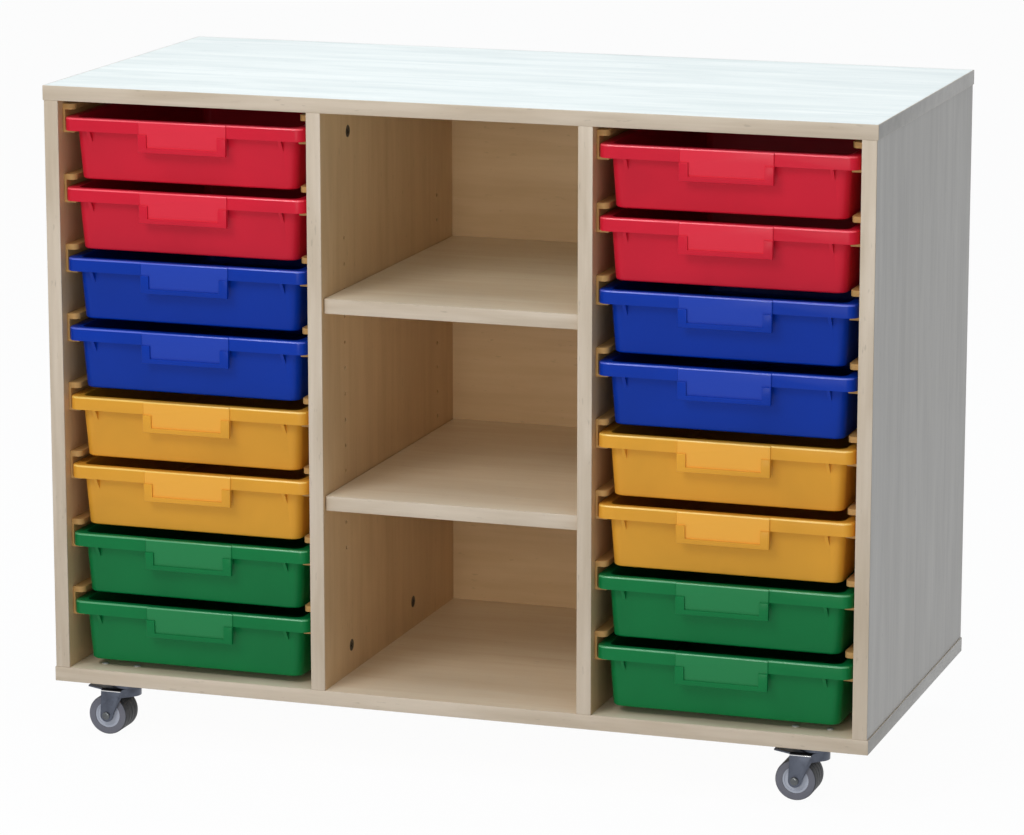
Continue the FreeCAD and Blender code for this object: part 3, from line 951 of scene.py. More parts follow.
@dataclass
class Carcass:
    """The boards, the holes in the dividers and the fittings that hold the boards together."""

    pattern: Pattern
    back_round: float = 0.3 * MM
    stud_pitch: float = 32.0 * MM
    stud_rows: int = 13
    stud_hole_radius: float = 2.5 * MM
    stud_hole_depth: float = 10.0 * MM
    stud_front_inset: float = 78.0 * MM
    stud_column_step: float = 336.0 * MM
    stud_round: float = 0.6 * MM
    cam_radius: float = 7.5 * MM
    cam_reach: float = 34.0 * MM            # from the end of the divider
    cam_front_inset: float = 94.0 * MM
    cam_step: float = 224.0 * MM
    cam_pocket: float = 3.0 * MM
    cam_gap: float = 0.15 * MM              # between a cam and its pocket
    cam_sunk: float = 0.2 * MM              # below the divider's face
    cam_bevel: float = 0.4 * MM
    cam_turn: float = math.radians(40.0)    # the most that one is turned
    slot_reach: float = 4.6 * MM
    slot_half: float = 0.9 * MM
    slot_depth: float = 2.2 * MM
    bolt_spacing: float = 42.5 * MM
    bolt_turn: float = math.radians(30.0)
    bolt_head_radius: float = 4.5 * MM
    bolt_head_height: float = 1.8 * MM
    bolt_dome: tuple[Spot, ...] = ((1.0, 0.0), (1.0, 0.35), (0.72, 0.85), (0.3, 1.0))  # of the head's size
    nut_radius: float = 5.6 * MM
    nut_height: float = 3.2 * MM
    nut_round: float = 0.4 * MM
    shank_radius: float = 3.0 * MM
    shank_reach: float = 5.0 * MM
    plate_thickness: float = 2.5 * MM

    def build(self, dresser: Dresser) -> None:
        """Make every board and fitting of the carcass."""
        plans = [
            Board("worktop", Grain.ALONG_X, (0.3, 0.1, 0.7), Shade.TOP, edging_all_round=True),
            Board("base_panel", Grain.ALONG_X, (2.1, 0.8, 0.2), Shade.SHELF, edging_all_round=True),
            Board("left_side_panel", Grain.ALONG_Z, (0.0, 1.7, 3.1), Shade.SIDE, 1.0),
            Board("right_side_panel", Grain.ALONG_Z, (4.4, 0.2, 1.3), Shade.SIDE, -1.0),
            Board("left_divider", Grain.ALONG_Z, (1.9, 2.6, 0.4), bored=lambda: self.bores("left_divider", 1)),
            Board("right_divider", Grain.ALONG_Z, (3.2, 1.1, 2.5), bored=lambda: self.bores("right_divider", -1)),
            Board("lower_shelf", Grain.ALONG_X, (1.2, 3.9, 1.9), Shade.SHELF),
            Board("upper_shelf", Grain.ALONG_X, (5.3, 0.6, 2.2), Shade.SHELF),
        ]
        for plan in plans:
            plan.build(dresser)
        self._back(dresser)
        self._cams(dresser)
        self._bolt_heads(dresser)
        self._studs(dresser)

    def _back(self, dresser: Dresser) -> None:
        """Plain back panel, let in between the side panels."""
        low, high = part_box("back_panel")
        finish = MapleFinish("back_panel_maple", Grain.ALONG_X, (0.9, 4.7, 3.3)).material()
        mesh = Form.block(low, high).rounded(self.back_round, 1).mesh("back")
        dresser.hang("back_panel_board", mesh, finish, "maple_board", "carcass", ["back_panel"])

    def bores(self, node: str, side: int) -> bpy.types.Mesh:
        """Tools for the stud holes and cam pockets in one divider.

        Args:
            node: The divider.
            side: 1 where its bored face looks to the right, -1 where it looks to the left.

        Returns:
            One mesh of all the tools.
        """
        low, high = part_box(node)
        x_face = high.x if side > 0 else low.x
        middle = (low.z + high.z) / 2
        first = (x_face, low.y + self.stud_front_inset, middle - (self.stud_rows - 1) * self.stud_pitch / 2)
        radius = self.stud_hole_radius
        hole = Form.turned([(radius, -CUT_MARGIN), (radius, self.stud_hole_depth)], 16)
        holes = self.pattern.laid(
            hole.moved(Matrix.Translation(first) @ quarter_turn("Y", -side)).mesh(node + "_hole"),
            (2, (0.0, self.stud_column_step, 0.0)),
            (self.stud_rows, (0.0, 0.0, self.stud_pitch)),
        )
        radius = self.cam_radius + self.cam_gap
        first = (x_face, low.y + self.cam_front_inset, low.z + self.cam_reach)
        pocket = Form.turned([(radius, -CUT_MARGIN), (radius, self.cam_pocket)], 32)
        pocket = pocket.moved(Matrix.Translation(first) @ quarter_turn("Y", -side)).mesh(node + "_pocket")
        pockets = self.pattern.laid(pocket, *self._cam_grid(high.z - low.z))
        work = bmesh.new()
        work.from_mesh(holes)
        work.from_mesh(pockets)
        tools = bpy.data.meshes.new(node + "_bores")
        bmesh.ops.recalc_face_normals(work, faces=work.faces)
        work.to_mesh(tools)
        work.free()
        return tools

    def _cam_grid(self, height: float) -> tuple[tuple[int, Point], tuple[int, Point]]:
        """Columns and rows of the cams in a divider of this height."""
        return (2, (0.0, self.cam_step, 0.0)), (2, (0.0, 0.0, height - 2 * self.cam_reach))

    def _cams(self, dresser: Dresser) -> None:
        """Die-cast cams with a cross slot, at both ends of each divider, where it faces the middle bay."""
        finish = PlatedSteel("cam_zinc", tone(96, 90, 82), tone(50, 46, 42), roughness=0.45).material()
        radius, depth, bevel = self.cam_radius, self.cam_pocket - self.cam_sunk, self.cam_bevel
        cam = Form.turned([(radius, 0.0), (radius, depth - bevel), (radius - bevel, depth)], 32).mesh("cam_disc")
        for x, y in ((self.slot_reach, self.slot_half), (self.slot_half, self.slot_reach)):
            slot = Form.block((-x, -y, depth - self.slot_depth), (x, y, depth + CUT_MARGIN))
            cam = carved(cam, None, slot.mesh("slot"))
        for node, side in (("left_divider", 1), ("right_divider", -1)):
            low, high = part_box(node)
            x_face = high.x if side > 0 else low.x
            piece = cam.copy()
            piece.transform(quarter_turn("Y", side))
            laid = self.pattern.laid(
                piece,
                *self._cam_grid(high.z - low.z),
                finish,
                (x_face - side * self.cam_pocket, low.y + self.cam_front_inset, low.z + self.cam_reach),
                ((1.0, 0.0, 0.0), self.cam_turn),
            )
            dresser.hang(node + "_cams", laid, finish, "stud_steel", "carcass")

    def _bolt_heads(self, dresser: Dresser) -> None:
        """Flat heads of the castor bolts on the base panel, and their nuts under the plates."""
        pale, deep = tone(214, 212, 208), tone(176, 174, 172)
        finish = PlatedSteel("bolt_zinc", pale, deep, roughness=0.3, metal=0.3).material()
        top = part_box("base_panel")[1].z
        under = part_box("castor_mounts")[1].z - self.plate_thickness
        head = Form.turned([(r * self.bolt_head_radius, z * self.bolt_head_height) for r, z in self.bolt_dome], 28)
        nut = Form.turned([(self.nut_radius, 0.0), (self.nut_radius, -self.nut_height)], 6)
        shank = Form.turned([(self.shank_radius, 0.0), (self.shank_radius, -self.shank_reach)], 16)
        nut = nut.rounded(self.nut_round, 1).with_(shank)
        step = self.bolt_spacing
        swivels = castor_axes()
        first, last = swivels["front_left"], swivels["rear_right"]
        turn = ((0.0, 0.0, 1.0), self.bolt_turn)
        for name, form, height in (("castor_bolt_heads", head, top), ("castor_nuts", nut, under)):
            start = (first.x - step / 2, first.y - step / 2, height)
            four = self.pattern.laid(form.mesh(name), (2, (step, 0, 0)), (2, (0, step, 0)), finish, start, turn)
            every = self.pattern.laid(four, (2, (last.x - first.x, 0, 0)), (2, (0, last.y - first.y, 0)), finish)
            dresser.hang(name, every, finish, "castor_steel", "carcass")

    def _studs(self, dresser: Dresser) -> None:
        """Pressed steel studs under the shelves."""
        finish = PlatedSteel("stud_nickel", tone(190, 190, 192), tone(120, 120, 124), roughness=0.28).material()
        form = Form.of_node("shelf_studs").rounded(self.stud_round, 2)
        dresser.hang("shelf_stud_set", form.mesh("studs"), finish, "stud_steel", "carcass", ["shelf_studs"])


def castor_axes() -> dict[str, Vector]:
    """Swivel axis of each castor, read from the joints of the frame."""
    ending = "_swivel_turn"
    swivels = [joint for joint in frame["joints"] if joint["name"].endswith(ending)]
    return {joint["name"].removesuffix(ending): Vector(joint["pos_m"]) for joint in swivels}


# ------------------------------------------------------------------------------------- trays
class TrayColour(Enum):
    """Colours of the trays, with the record's slot of each."""

    RED = ("tray_red", tone(218, 33, 55))
    BLUE = ("tray_blue", tone(4, 54, 164))
    YELLOW = ("tray_yellow", tone(232, 165, 55))
    GREEN = ("tray_green", tone(13, 120, 62))


@dataclass
class Tray:
    """One moulded tray: drafted body, skirted rim, handle plate with a card recess, ribs in front."""

    half_width: float = 156.0 * MM
    rim_length: float = 423.0 * MM
    height: float = 76.0 * MM
    wall: float = 2.0 * MM
    taper: float = math.tan(math.radians(3.6))
    rim_height: float = 16.0 * MM
    side_stand: float = 11.5 * MM
    end_stand: float = 9.0 * MM
    rim_radius: float = 13.0 * MM
    body_radius: float = 12.0 * MM
    base_round: float = 2.5 * MM
    top_round: float = 2.0 * MM
    lip_round: float = 0.8 * MM
    floor_round: float = 4.0 * MM
    round_steps: int = 3
    handle_half: float = 57.0 * MM
    handle_height: float = 38.0 * MM
    handle_reach: float = 4.0 * MM
    handle_rake: float = 0.5 * MM
    handle_narrowing: float = 0.5 * MM
    handle_plate: float = 3.0 * MM
    plate_round: float = 1.7 * MM
    border_round: float = 0.8 * MM
    card_depth: float = 2.2 * MM
    card_side: float = 11.0 * MM
    card_bottom: float = 6.0 * MM
    rib_offset: float = 123.5 * MM
    rib_width: float = 4.0 * MM
    rib_drop: float = 16.0 * MM
    border_depth: float = 0.8 * MM    # how far the border is sunk in the plate
    rib_sunk: float = 0.2 * MM        # how far a rib is sunk in the skirt
    edge_lean: float = 0.1            # least share of the front and of the top in the edge's normals

    def mesh(self) -> bpy.types.Mesh:
        """Mesh of a tray in its own frame: X from its middle, Y back from its rim, Z up from its rim."""
        shell = Form.loft(self._rings()).mesh("tray_shell")
        added = self._plate().with_(*self._ribs()).mesh("tray_added")
        removed = self._finger_space().mesh("tray_removed")
        moulding = carved(carved(shell, added, None), self._border(), removed)
        mark(moulding, self._polish_and_light_mark_of)
        return moulding

    def _polish_and_light_mark_of(self, centre: Vector, normal: Vector) -> float:
        """Mark of a face: 2 on the rim's front top edge, which is painted paler as a painted highlight, 1 on the
        face of the handle's plate, which is glossier and painted paler as painted light.
        """
        on_rim = centre.z > -self.top_round and centre.y < self.end_stand / 2
        if on_rim and normal.y < -self.edge_lean and normal.z > self.edge_lean:
            return 2.0
        face = self._handle_face(centre.z) + self.card_depth
        on_plate = abs(centre.y - face) < NEAR and abs(centre.x) < self.handle_half
        return float(on_plate and normal.y < -FACING and centre.z > self.card_bottom - self.handle_height)

    def _body_ring(self, z: float, inset: float, radius: float) -> list[Vector]:
        """Ring of the tray's body, drawn in by inset from its outside."""
        draw = inset - z * self.taper
        x = self.half_width - self.side_stand - draw
        return rounded_ring(x, self.end_stand + draw, self.rim_length - self.end_stand - draw, radius, z)

    def _rim_ring(self, z: float, inset: float) -> list[Vector]:
        """Ring of the rim, drawn in by inset."""
        radius = self.rim_radius - inset
        return rounded_ring(self.half_width - inset, inset, self.rim_length - inset, radius, z)

    def _quarter(self) -> list[tuple[float, float]]:
        """Sine and cosine at each step of a quarter turn."""
        turns = [math.pi / 2 * i / self.round_steps for i in range(self.round_steps + 1)]
        return [(math.sin(a), math.cos(a)) for a in turns]

    def _rings(self) -> list[list[Vector]]:
        """Every ring of the shell, from the middle of the underside over the rim to the floor inside."""
        rings = []
        inner_radius = self.body_radius - self.wall
        for sine, cosine in self._quarter():
            z = -self.height + self.base_round * (1 - cosine)
            rings.append(self._body_ring(z, self.base_round * (1 - sine), self.body_radius))
        rings.append(self._body_ring(-self.wall, 0.0, self.body_radius))
        rings.append(self._rim_ring(-self.wall, self.wall))
        rings.append(self._rim_ring(-self.rim_height, self.wall))
        rings.append(self._rim_ring(-self.rim_height, 0.0))
        for sine, cosine in self._quarter():
            rings.append(self._rim_ring(-self.top_round * (1 - sine), self.top_round * (1 - cosine)))
        for sine, cosine in self._quarter():
            z = -self.lip_round * (1 - cosine)
            rings.append(self._body_ring(z, self.wall - self.lip_round * (1 - sine), inner_radius))
        floor = self.wall - self.height
        for sine, cosine in self._quarter():
            z = floor + self.floor_round * (1 - sine)
            rings.append(self._body_ring(z, self.wall + self.floor_round * (1 - cosine), inner_radius))
        return rings

    def _handle_half(self, z: float) -> float:
        """Half the handle's width at this height."""
        return self.handle_half + z / self.handle_height * self.handle_narrowing

    def _handle_face(self, z: float) -> float:
        """Y of the handle's front at this height."""
        return -self.handle_reach - z / self.handle_height * self.handle_rake

    def _handle_block(self, low: float, high: float, narrower: float, set_back: float, root: float) -> Form:
        """Block with the handle's outline.

        Args:
            low: Its underside.
            high: Its top.
            narrower: How far each side stands in from the handle's.
            set_back: How far its front stands behind the handle's.
            root: Y of its back.

        Returns:
            The block.
        """
        sections = []
        for z in (low, high):
            half = self._handle_half(z) - narrower
            sections.append((-half, half, self._handle_face(z) + set_back, root))
        return Form.frustum(sections[0], sections[1], low, high)

    def _plate(self) -> Form:
        """Plate of the handle, rooted in the rim, with a rounded top edge."""
        root = 0.8 * self.wall
        plate = self._handle_block(-self.handle_height, 0.0, 0.0, self.card_depth, root)
        return plate.rounded(self.plate_round, 4, lambda a, b: not (a.y > 0.5 * root and b.y > 0.5 * root))

    def _border(self) -> bpy.types.Mesh:
        """Raised border of the name card: both sides and the bottom."""
        low, high = -self.handle_height, -self.rim_height
        over = CUT_MARGIN
        inside = self._handle_block(low + self.card_bottom, high + over, self.card_side, -over, over)
        outside = self._handle_block(low, high, 0.0, 0.0, self.card_depth + self.border_depth - self.handle_reach)
        front = -0.8 * self.handle_reach
        outside = outside.rounded(self.border_round, 2, lambda a, b: a.y < front and b.y < front)
        return carved(outside.mesh("border"), None, inside.mesh("card"))

    def _finger_space(self) -> Form:
        """Tool for the space behind the handle's plate, open below."""
        low, high = -self.handle_height - CUT_MARGIN, -self.wall
        return self._handle_block(low, high, self.wall, self.handle_plate, 0.95 * self.end_stand)

    def _ribs(self) -> list[Form]:
        """Ribs between the rim and the body in front."""
        high, low = -0.5 * self.wall, -self.rim_height - self.rib_drop
        wall_at = [self.end_stand + 0.5 * self.wall - z * self.taper for z in (high, low)]
        outline = [
            (0.5 * self.wall, high),
            (wall_at[0], high),
            (wall_at[1], low),
            (0.5 * self.wall, -self.rim_height + self.rib_sunk),
        ]
        half = 0.5 * self.rib_width
        return [Form.prism(outline, 0, x - half, x + half) for x in (-self.rib_offset, self.rib_offset)]


@dataclass
class TrayColumns:
    """Both columns of trays, in their colours from the top down."""

    order: tuple[TrayColour, ...] = (TrayColour.RED, TrayColour.BLUE, TrayColour.YELLOW, TrayColour.GREEN)
    trays_of_each: int = 2

    def build(self, dresser: Dresser) -> None:
        """Hang sixteen trays on their bodies."""
        tray = Tray()
        mould = tray.mesh()
        finishes = {}
        for colour in self.order:
            slot, paint = colour.value
            finishes[colour] = (slot, MouldedPlastic(slot + "_plastic", paint).material())
        for column in ("left", "right"):
            for number in range(len(self.order) * self.trays_of_each):
                node = f"{column}_tray_{number + 1}"
                low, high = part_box(node)
                mesh = mould.copy()
                mesh.transform(Matrix.Translation(((low.x + high.x) / 2, high.y - tray.rim_length, high.z)))
                slot, finish = finishes[self.order[number // self.trays_of_each]]
                dresser.hang(node + "_moulding", mesh, finish, slot, node, [node])


@dataclass
class Runners:
    """Columns of C-section runners with a rounded nose and countersunk screws."""

    pattern: Pattern
    count: int = 8
    pitch: float = 85.9 * MM
    projection: float = 15.0 * MM
    web: float = 3.0 * MM
    lower: float = 3.3 * MM
    channel: float = 24.5 * MM
    upper: float = 7.0 * MM
    stop: float = 3.0 * MM
    nose: float = 8.0 * MM
    edge_round: float = 0.5 * MM
    stop_sunk: float = 0.2 * MM
    screw_profile: tuple[Spot, ...] = ((3.6 * MM, -0.5 * MM), (3.6 * MM, 0.1 * MM), (0.4 * MM, 0.35 * MM))
    screw_inset: float = 37.0 * MM

    def build(self, dresser: Dresser) -> None:
        """Dress the four columns."""
        finish = MouldedPlastic("runner_tan", tone(192, 150, 92), roughness=0.4).material()
        steel = PlatedSteel("runner_screw_zinc", tone(190, 190, 186), tone(130, 130, 128), roughness=0.3).material()
        for node, side in (
            ("left_bay_outer_runners", 1),
            ("left_bay_inner_runners", -1),
            ("right_bay_inner_runners", 1),
            ("right_bay_outer_runners", -1),
        ):
            low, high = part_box(node)
            x_face = low.x if side > 0 else high.x
            length = high.y - low.y
            turn = Matrix.Scale(side, 4, (1, 0, 0))
            place = Matrix.Translation((x_face, low.y, low.z + self.lower)) @ turn
            piece = self._runner(length)
            piece.transform(place)
            if side < 0:
                piece.flip_normals()
            laid = self.pattern.laid(piece, (self.count, (0, 0, self.pitch)), finish=finish)
            dresser.hang(node + "_mouldings", laid, finish, "runner_plastic", "carcass", [node])
            screw = Form.turned(self.screw_profile, 20).moved(turn @ quarter_turn("Y")).mesh(node + "_screw")
            start = place @ Vector((self.web, self.screw_inset, self.channel / 2))
            step = (length - 2 * self.screw_inset) / 2
            screws = self.pattern.laid(screw, (3, (0, step, 0)), (self.count, (0, 0, self.pitch)), steel, start)
            dresser.hang(node + "_screws", screws, steel, "stud_steel", "carcass")

    def _runner(self, length: float) -> bpy.types.Mesh:
        """One runner in its own frame: X out from the board, Y back from its front, Z up from its ledge."""
        p, w, top = self.projection, self.web, self.channel + self.upper
        below = [(0, -self.lower), (p, -self.lower), (p, 0), (w, 0)]
        above = [(w, self.channel), (p, self.channel), (p, top), (0, top)]
        body = Form.prism(below + above, 1, 0.0, length).rounded(self.edge_round, 2).mesh("runner_body")
        sunk, over = self.stop_sunk, CUT_MARGIN
        near, far = (0.5 * w, length - self.stop, -sunk), (p - self.edge_round, length - sunk, self.channel + sunk)
        stop = Form.block(near, far)
        curve = arc((p - self.nose, self.nose), self.nose, 0, -90, 8)
        corner = [(p + over, -over), (p + over, self.nose)] + curve + [(p - self.nose, -over)]
        cutter = Form.prism(corner, 2, self.channel - over, top + over)
        return carved(body, stop.mesh("runner_stop"), cutter.mesh("runner_nose"))


# ------------------------------------------------------------------------------------- castors
@dataclass
class CastorWheel:
    """Wide wheel: grooved tread with rounded shoulders, and a pale hub let into each face."""

    radius: float = 25.0 * MM
    half_width: float = 19.5 * MM
    bore: float = 3.05 * MM
    shoulder: float = 2.2 * MM
    hub_radius: float = 16.2 * MM
    hub_inset: float = 0.9 * MM
    boss_radius: float = 6.5 * MM
    groove_depth: float = 1.0 * MM
    groove_half: float = 0.9 * MM
    groove_places: tuple[float, ...] = (-9.0 * MM, 0.0, 9.0 * MM)
    hub_gap: float = 0.05 * MM       # between the hub and the tread
    dish_depth: float = 1.2 * MM
    dish_inset: float = 2.6 * MM     # from the hub's edge to the foot of the dish
    lip_inset: float = 2.2 * MM      # and to its top
    lip_drop: float = 0.3 * MM
    boss_bevel: float = 0.4 * MM
    boss_draft: float = 0.3 * MM

    def tread(self) -> Form:
        """Tread, open where the hub is let in."""
        r, h, s = self.radius, self.half_width, self.shoulder
        profile = [(self.hub_radius, -h)]
        profile += arc((r - s, -h + s), s, -90, 0, 5)
        for place in self.groove_places:
            profile += [
                (r, place - self.groove_half),
                (r - self.groove_depth, place - 0.5 * self.groove_half),
                (r - self.groove_depth, place + 0.5 * self.groove_half),
                (r, place + self.groove_half),
            ]
        profile += arc((r - s, h - s), s, 0, 90, 5)
        profile += [(self.hub_radius, h), (self.hub_radius, -h)]
        return Form.turned(profile, 72)

    def hub(self) -> Form:
        """Hub with a shallow dish round a raised boss on each face."""
        h = self.half_width - self.hub_inset
        dish = h - self.dish_depth
        rim = self.hub_radius - self.hub_gap
        half = [
            (self.bore, h),
            (self.boss_radius - self.boss_bevel, h),
            (self.boss_radius, h - self.boss_bevel),
            (self.boss_radius + self.boss_draft, dish),
            (rim - self.dish_inset, dish),
            (rim - self.lip_inset, h - self.lip_drop),
            (rim, h),
        ]
        profile = half + [(r, -z) for r, z in reversed(half)]
        return Form.turned(profile + profile[:1], 64)


@dataclass
class Castor:
    """Moving pieces of one castor: fork with its axle's rivet, wheel and, in front, a brake pedal."""

    name: str
    steel: bpy.types.Material
    bright: bpy.types.Material
    # near-white material of the strips on the legs' top edges: a painted highlight
    edge_highlight: bpy.types.Material
    tread: bpy.types.Material
    hub: bpy.types.Material
    edge_round: float = 0.3 * MM
    bend_round: float = 3.0 * MM
    bend_from: float = 20.0 * MM     # least distance of a bend from the swivel axis
    painted_shade_from: float = 0.7         # share of the fork's half width where the painted shade begins
    leg_round: float = 8.0 * MM
    leg_raised: float = 0.8 * MM
    leg_sunk: float = 0.1 * MM
    leg_top_drop: float = 3.0 * MM
    leg_front: float = -1.0 * MM     # leading and trailing edge of a leg's top, from the swivel axis
    leg_back: float = -27.5 * MM
    highlight_raised: float = 0.15 * MM   # how the near-white strip, a painted highlight, stands to its leg
    highlight_inset: float = 0.3 * MM
    highlight_below: float = 0.6 * MM
    highlight_above: float = 0.35 * MM
    axle_head: float = 2.5 * MM
    rivet_radii: tuple[float, ...] = (5.0 * MM, 4.6 * MM, 3.4 * MM, 1.6 * MM, 0.3 * MM)
    rivet_heights: tuple[float, ...] = (-0.2 * MM, 0.35 * MM, 0.85 * MM, 1.1 * MM, 1.15 * MM)
    tread_side: float = 0.3 * MM     # how far inside the tread's side its marked faces begin
    side_lean: float = 0.6           # least share of a normal along the axle on them
    pedal_round: float = 0.5 * MM

    def build(self, dresser: Dresser) -> None:
        """Dress the moving pieces of the castor."""
        self._fork(dresser)
        self._wheel(dresser)
        if self.name + "_brake_pedal" in frame["nodes"]:
            self._pedal(dresser)

    def _fork(self, dresser: Dresser) -> None:
        """Pressed fork with softened edges, and a domed rivet head in front."""
        node = self.name + "_fork"
        low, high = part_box(node)
        side = castor_axes()[self.name].y

        def bend(a: Vector, b: Vector) -> bool:
            """Whether an edge is one of the two bends between the crown and the legs."""
            on_top = min(a.z, b.z) > high.z - NEAR
            return on_top and abs(a.y - b.y) < NEAR and abs(a.y - side) > self.bend_from

        pressing = Form.of_node(node).rounded(self.bend_round, 4, bend).rounded(self.edge_round, 2).mesh(node)
        # Faces high on the fork, towards its ends, are marked and take a near-black colour: painted shade under the
        # base panel.
        shaded, out = high.z - self.bend_round, self.painted_shade_from * (high.y - side)
        mark(pressing, lambda centre, normal: centre.z > shaded and abs(centre.y - side) > out)
        dresser.hang(node + "_pressing", pressing, self.steel, "castor_steel", self.name + "_swivel", [node])
        wheel_low, wheel_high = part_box(self.name + "_wheel")
        centre = (wheel_low + wheel_high) / 2
        self._legs(dresser, centre, high.y - self.axle_head - side, high.z - self.leg_top_drop)
        dome = Form.turned(list(zip(self.rivet_radii, self.rivet_heights)), 28)
        rivet = dome.moved(Matrix.Translation((centre.x, low.y, centre.z)) @ quarter_turn("X")).mesh("rivet")
        dresser.hang(self.name + "_axle_rivet", rivet, self.bright, "castor_steel", self.name + "_swivel")

    def _legs(self, dresser: Dresser, axle: Vector, reach: float, top: float) -> None:
        """Raised face of each leg, with a near-white strip along its top edge as a painted highlight.

        Args:
            dresser: Hangs the pieces.
            axle: Middle of the wheel.
            reach: From the swivel axis to the outside of a leg.
            top: Height of the faces.
        """
        swivel = castor_axes()[self.name]
        front, back = swivel.x + self.leg_front, swivel.x + self.leg_back
        run, rise = front - axle.x, top - axle.z
        tangent = math.degrees(math.atan2(rise, run) - math.acos(self.leg_round / math.hypot(run, rise)))
        outline = arc((axle.x, axle.z), self.leg_round, -180.0, tangent, 18) + [(front, top), (back, top)]
        faces, edges = [], []
        for side in (-1, 1):
            inner, outer = swivel.y + side * (reach - self.leg_sunk), swivel.y + side * (reach + self.leg_raised)
            faces.append(Form.prism(outline, 1, min(inner, outer), max(inner, outer)).rounded(self.edge_round, 2))
            lip = outer + side * self.highlight_raised
            low = (back + self.highlight_inset, min(inner, lip), top - self.highlight_below)
            high = (front - self.highlight_inset, max(inner, lip), top + self.highlight_above)
            edges.append(Form.block(low, high).rounded(self.edge_round, 3))
        for kind, forms, finish in (("faces", faces, self.steel), ("edges", edges, self.edge_highlight)):
            mesh = forms[0].with_(forms[1]).mesh(kind)
            dresser.hang(f"{self.name}_leg_{kind}", mesh, finish, "castor_steel", self.name + "_swivel")

    def _wheel(self, dresser: Dresser) -> None:
        """Tread and hub on the wheel's body."""
        low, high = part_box(self.name + "_wheel")
        centre = (low + high) / 2
        place = Matrix.Translation(centre) @ quarter_turn("X")
        shape = CastorWheel()
        body = self.name + "_wheel"
        tread = shape.tread().moved(place).mesh("tread")
        flat = shape.half_width - self.tread_side
        mark(tread, lambda where, normal: abs(where.y - centre.y) > flat and abs(normal.y) > self.side_lean)
        dresser.hang(body + "_tread", tread, self.tread, "castor_tread", body, [body])
        dresser.hang(body + "_hub", shape.hub().moved(place).mesh("hub"), self.hub, "castor_tread", body)

    def _pedal(self, dresser: Dresser) -> None:
        """Foot pedal with softened edges."""
        node = self.name + "_brake_pedal"
        form = Form.of_node(node).rounded(self.pedal_round, 2)
        dresser.hang(node + "_pressing", form.mesh(node), self.steel, "pedal_steel", node, [node])


@dataclass
class Castors:
    """The four castors and the plates that hold them."""

    plate_round: float = 0.4 * MM

    def build(self, dresser: Dresser) -> None:
        """Dress every castor."""
        steel = PlatedSteel("castor_zinc").material()
        bright = PlatedSteel("rivet_zinc", tone(96, 99, 101), tone(60, 62, 64), roughness=0.2).material()
        # Near-white strip on each leg's top edge: a painted highlight of the fork's bend.
        pale, deep = tone(250, 250, 251), tone(222, 224, 228)
        edge_highlight = PlatedSteel("worn_edge", pale, deep, roughness=0.2, metal=1.0).material()
        tread = CastorRubber("castor_tread_rubber").material()
        hub = MouldedPlastic("castor_hub_nylon", tone(196, 201, 213), roughness=0.45).material()
        mounts = Form.of_node("castor_mounts").rounded(self.plate_round, 2)
        dresser.hang("castor_plates", mounts.mesh("plates"), steel, "castor_steel", "carcass", ["castor_mounts"])
        for name in castor_axes():
            Castor(name, steel, bright, edge_highlight, tread, hub).build(dresser)


# ------------------------------------------------------------------------------------- studio
def put(data: Union[bpy.types.Light, bpy.types.Camera], place: Point, aim: Sequence[float]) -> bpy.types.Object:
    """Put a lamp or a camera in the scene.

    Args:
        data: The lamp or the camera.
        place: Where it stands.
        aim: The direction in which it looks.

    Returns:
        Its object.
    """
    thing = bpy.data.objects.new(data.name, data)
    thing.location = place
    thing.rotation_euler = Vector(aim).to_track_quat("-Z", "Y").to_euler()
    bpy.context.scene.collection.objects.link(thing)
    return thing


@dataclass(frozen=True)
class Lamp:
    """Soft square lamp aimed at the middle of the unit."""

    name: str
    place: Point
    size: float      # length of its side
    power: float     # in watts
    colour: Point

    def hang(self, aim: Point) -> None:
        """Put the lamp in the scene, turned to a point."""
        data = bpy.data.lights.new(self.name, "AREA")
        data.size = self.size
        data.energy = self.power
        data.color = self.colour
        put(data, self.place, Vector(aim) - Vector(self.place))


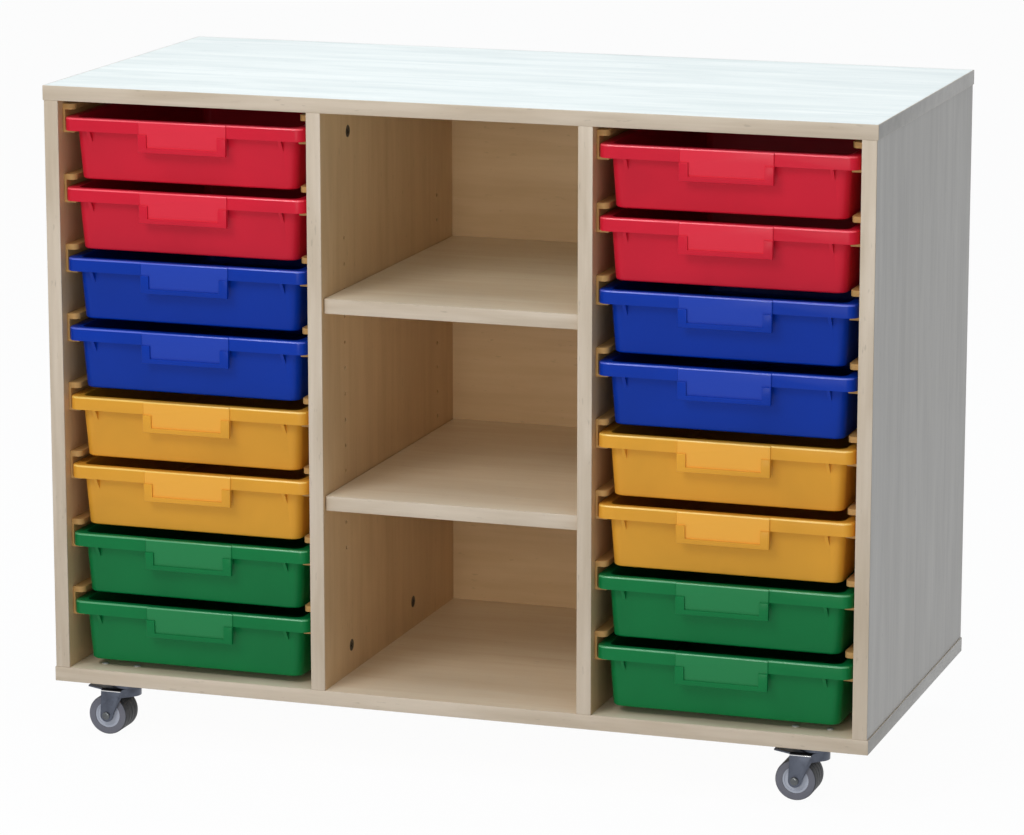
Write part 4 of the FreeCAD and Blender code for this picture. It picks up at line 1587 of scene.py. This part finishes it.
@dataclass
class Studio:
    """Pale floor, soft lamps and the camera."""

    camera_place: Point = (1.69327, -5.07905, 1.54659)
    camera_aim: Point = (-0.30962, 0.92721, -0.21073)
    lens: float = 155.2
    sensor: float = 36.0
    floor_half: float = 14.0
    floor_top: float = -0.0005       # a hair under the wheels
    floor_bottom: float = -0.02
    floor_glow: float = 0.965        # how far the floor shows as plain white, under the shadow
    floor_noise: Noise = Noise(3.0, 2.0)
    surroundings: Colour = (0.190, 0.217, 0.262, 1.0)
    white: Colour = (1.0, 1.0, 1.0, 1.0)
    aim: Point = (0.0, 0.0, 0.4)     # where the lamps look
    lamps: tuple[Lamp, ...] = (
        Lamp("key", (-1.3, -3.4, 3.4), 1.6, 61.5, (0.98, 0.956, 0.949)),
        Lamp("low", (0.3, -5.0, 1.2), 1.6, 46.5, (1.0, 0.97, 0.92)),
        Lamp("top", (0.0, -0.1, 3.6), 2.8, 63.0, (0.9, 0.98, 1.1)),
    )

    def build(self) -> None:
        """Set the whole studio up."""
        self._camera()
        self._floor()
        self._world()
        for lamp in self.lamps:
            lamp.hang(self.aim)
        bpy.context.scene.view_settings.view_transform = "Standard"

    def _camera(self) -> None:
        """Camera at the viewing angle of the subject."""
        data = bpy.data.cameras.new("camera")
        data.lens = self.lens
        data.sensor_width = self.sensor
        data.sensor_fit = "HORIZONTAL"
        bpy.context.scene.camera = put(data, self.camera_place, self.camera_aim)

    def _seen(self, paint: Paint) -> Wire:
        """1 for rays that show the background, 0 for rays that only light."""
        names = ("Is Camera Ray", "Is Glossy Ray", "Is Transmission Ray")
        camera, glossy, through = (paint.node("ShaderNodeLightPath", out=name) for name in names)
        return (camera + glossy + through).held()

    def _floor(self) -> None:
        """Pale floor that keeps the unit's shadow."""
        side = self.floor_half
        slab = Form.block((-side, -side, self.floor_bottom), (side, side, self.floor_top))
        floor = shown("floor", slab.mesh("floor"))
        paint = Paint("floor_paper")
        grain = paint.noise(paint.place(), self.floor_noise)
        pale = paint.mixed(grain, tone(244, 244, 243), tone(240, 240, 240))
        matt = paint.node("ShaderNodeBsdfDiffuse", {}, {"Color": pale})
        lit = paint.node("ShaderNodeEmission", {}, {"Color": self.white, "Strength": 1.0})
        both = paint.node("ShaderNodeMixShader", {}, {0: self._seen(paint) * self.floor_glow, 1: matt, 2: lit})
        floor.data.materials.append(paint.ended(both))

    def _world(self) -> None:
        """White surroundings that light at a plain level."""
        paint = Paint("studio", surroundings=True)
        colour = paint.mixed(self._seen(paint), self.surroundings, self.white)
        back = paint.node("ShaderNodeBackground", {}, {"Color": colour, "Strength": 1.0})
        bpy.context.scene.world = paint.ended(back)


def main() -> None:
    """Dress the unit, piece by piece, and set the studio up."""
    logging.basicConfig(level=logging.INFO, format="%(name)s: %(message)s")
    dresser = Dresser()
    pattern = Pattern()
    for part in (Carcass(pattern), Runners(pattern), TrayColumns(), Castors()):
        part.build(dresser)
        LOG.info("%s dressed, %d pieces so far", type(part).__name__, dresser.pieces)
    Studio().build()


if __name__ == "__main__":
    main()
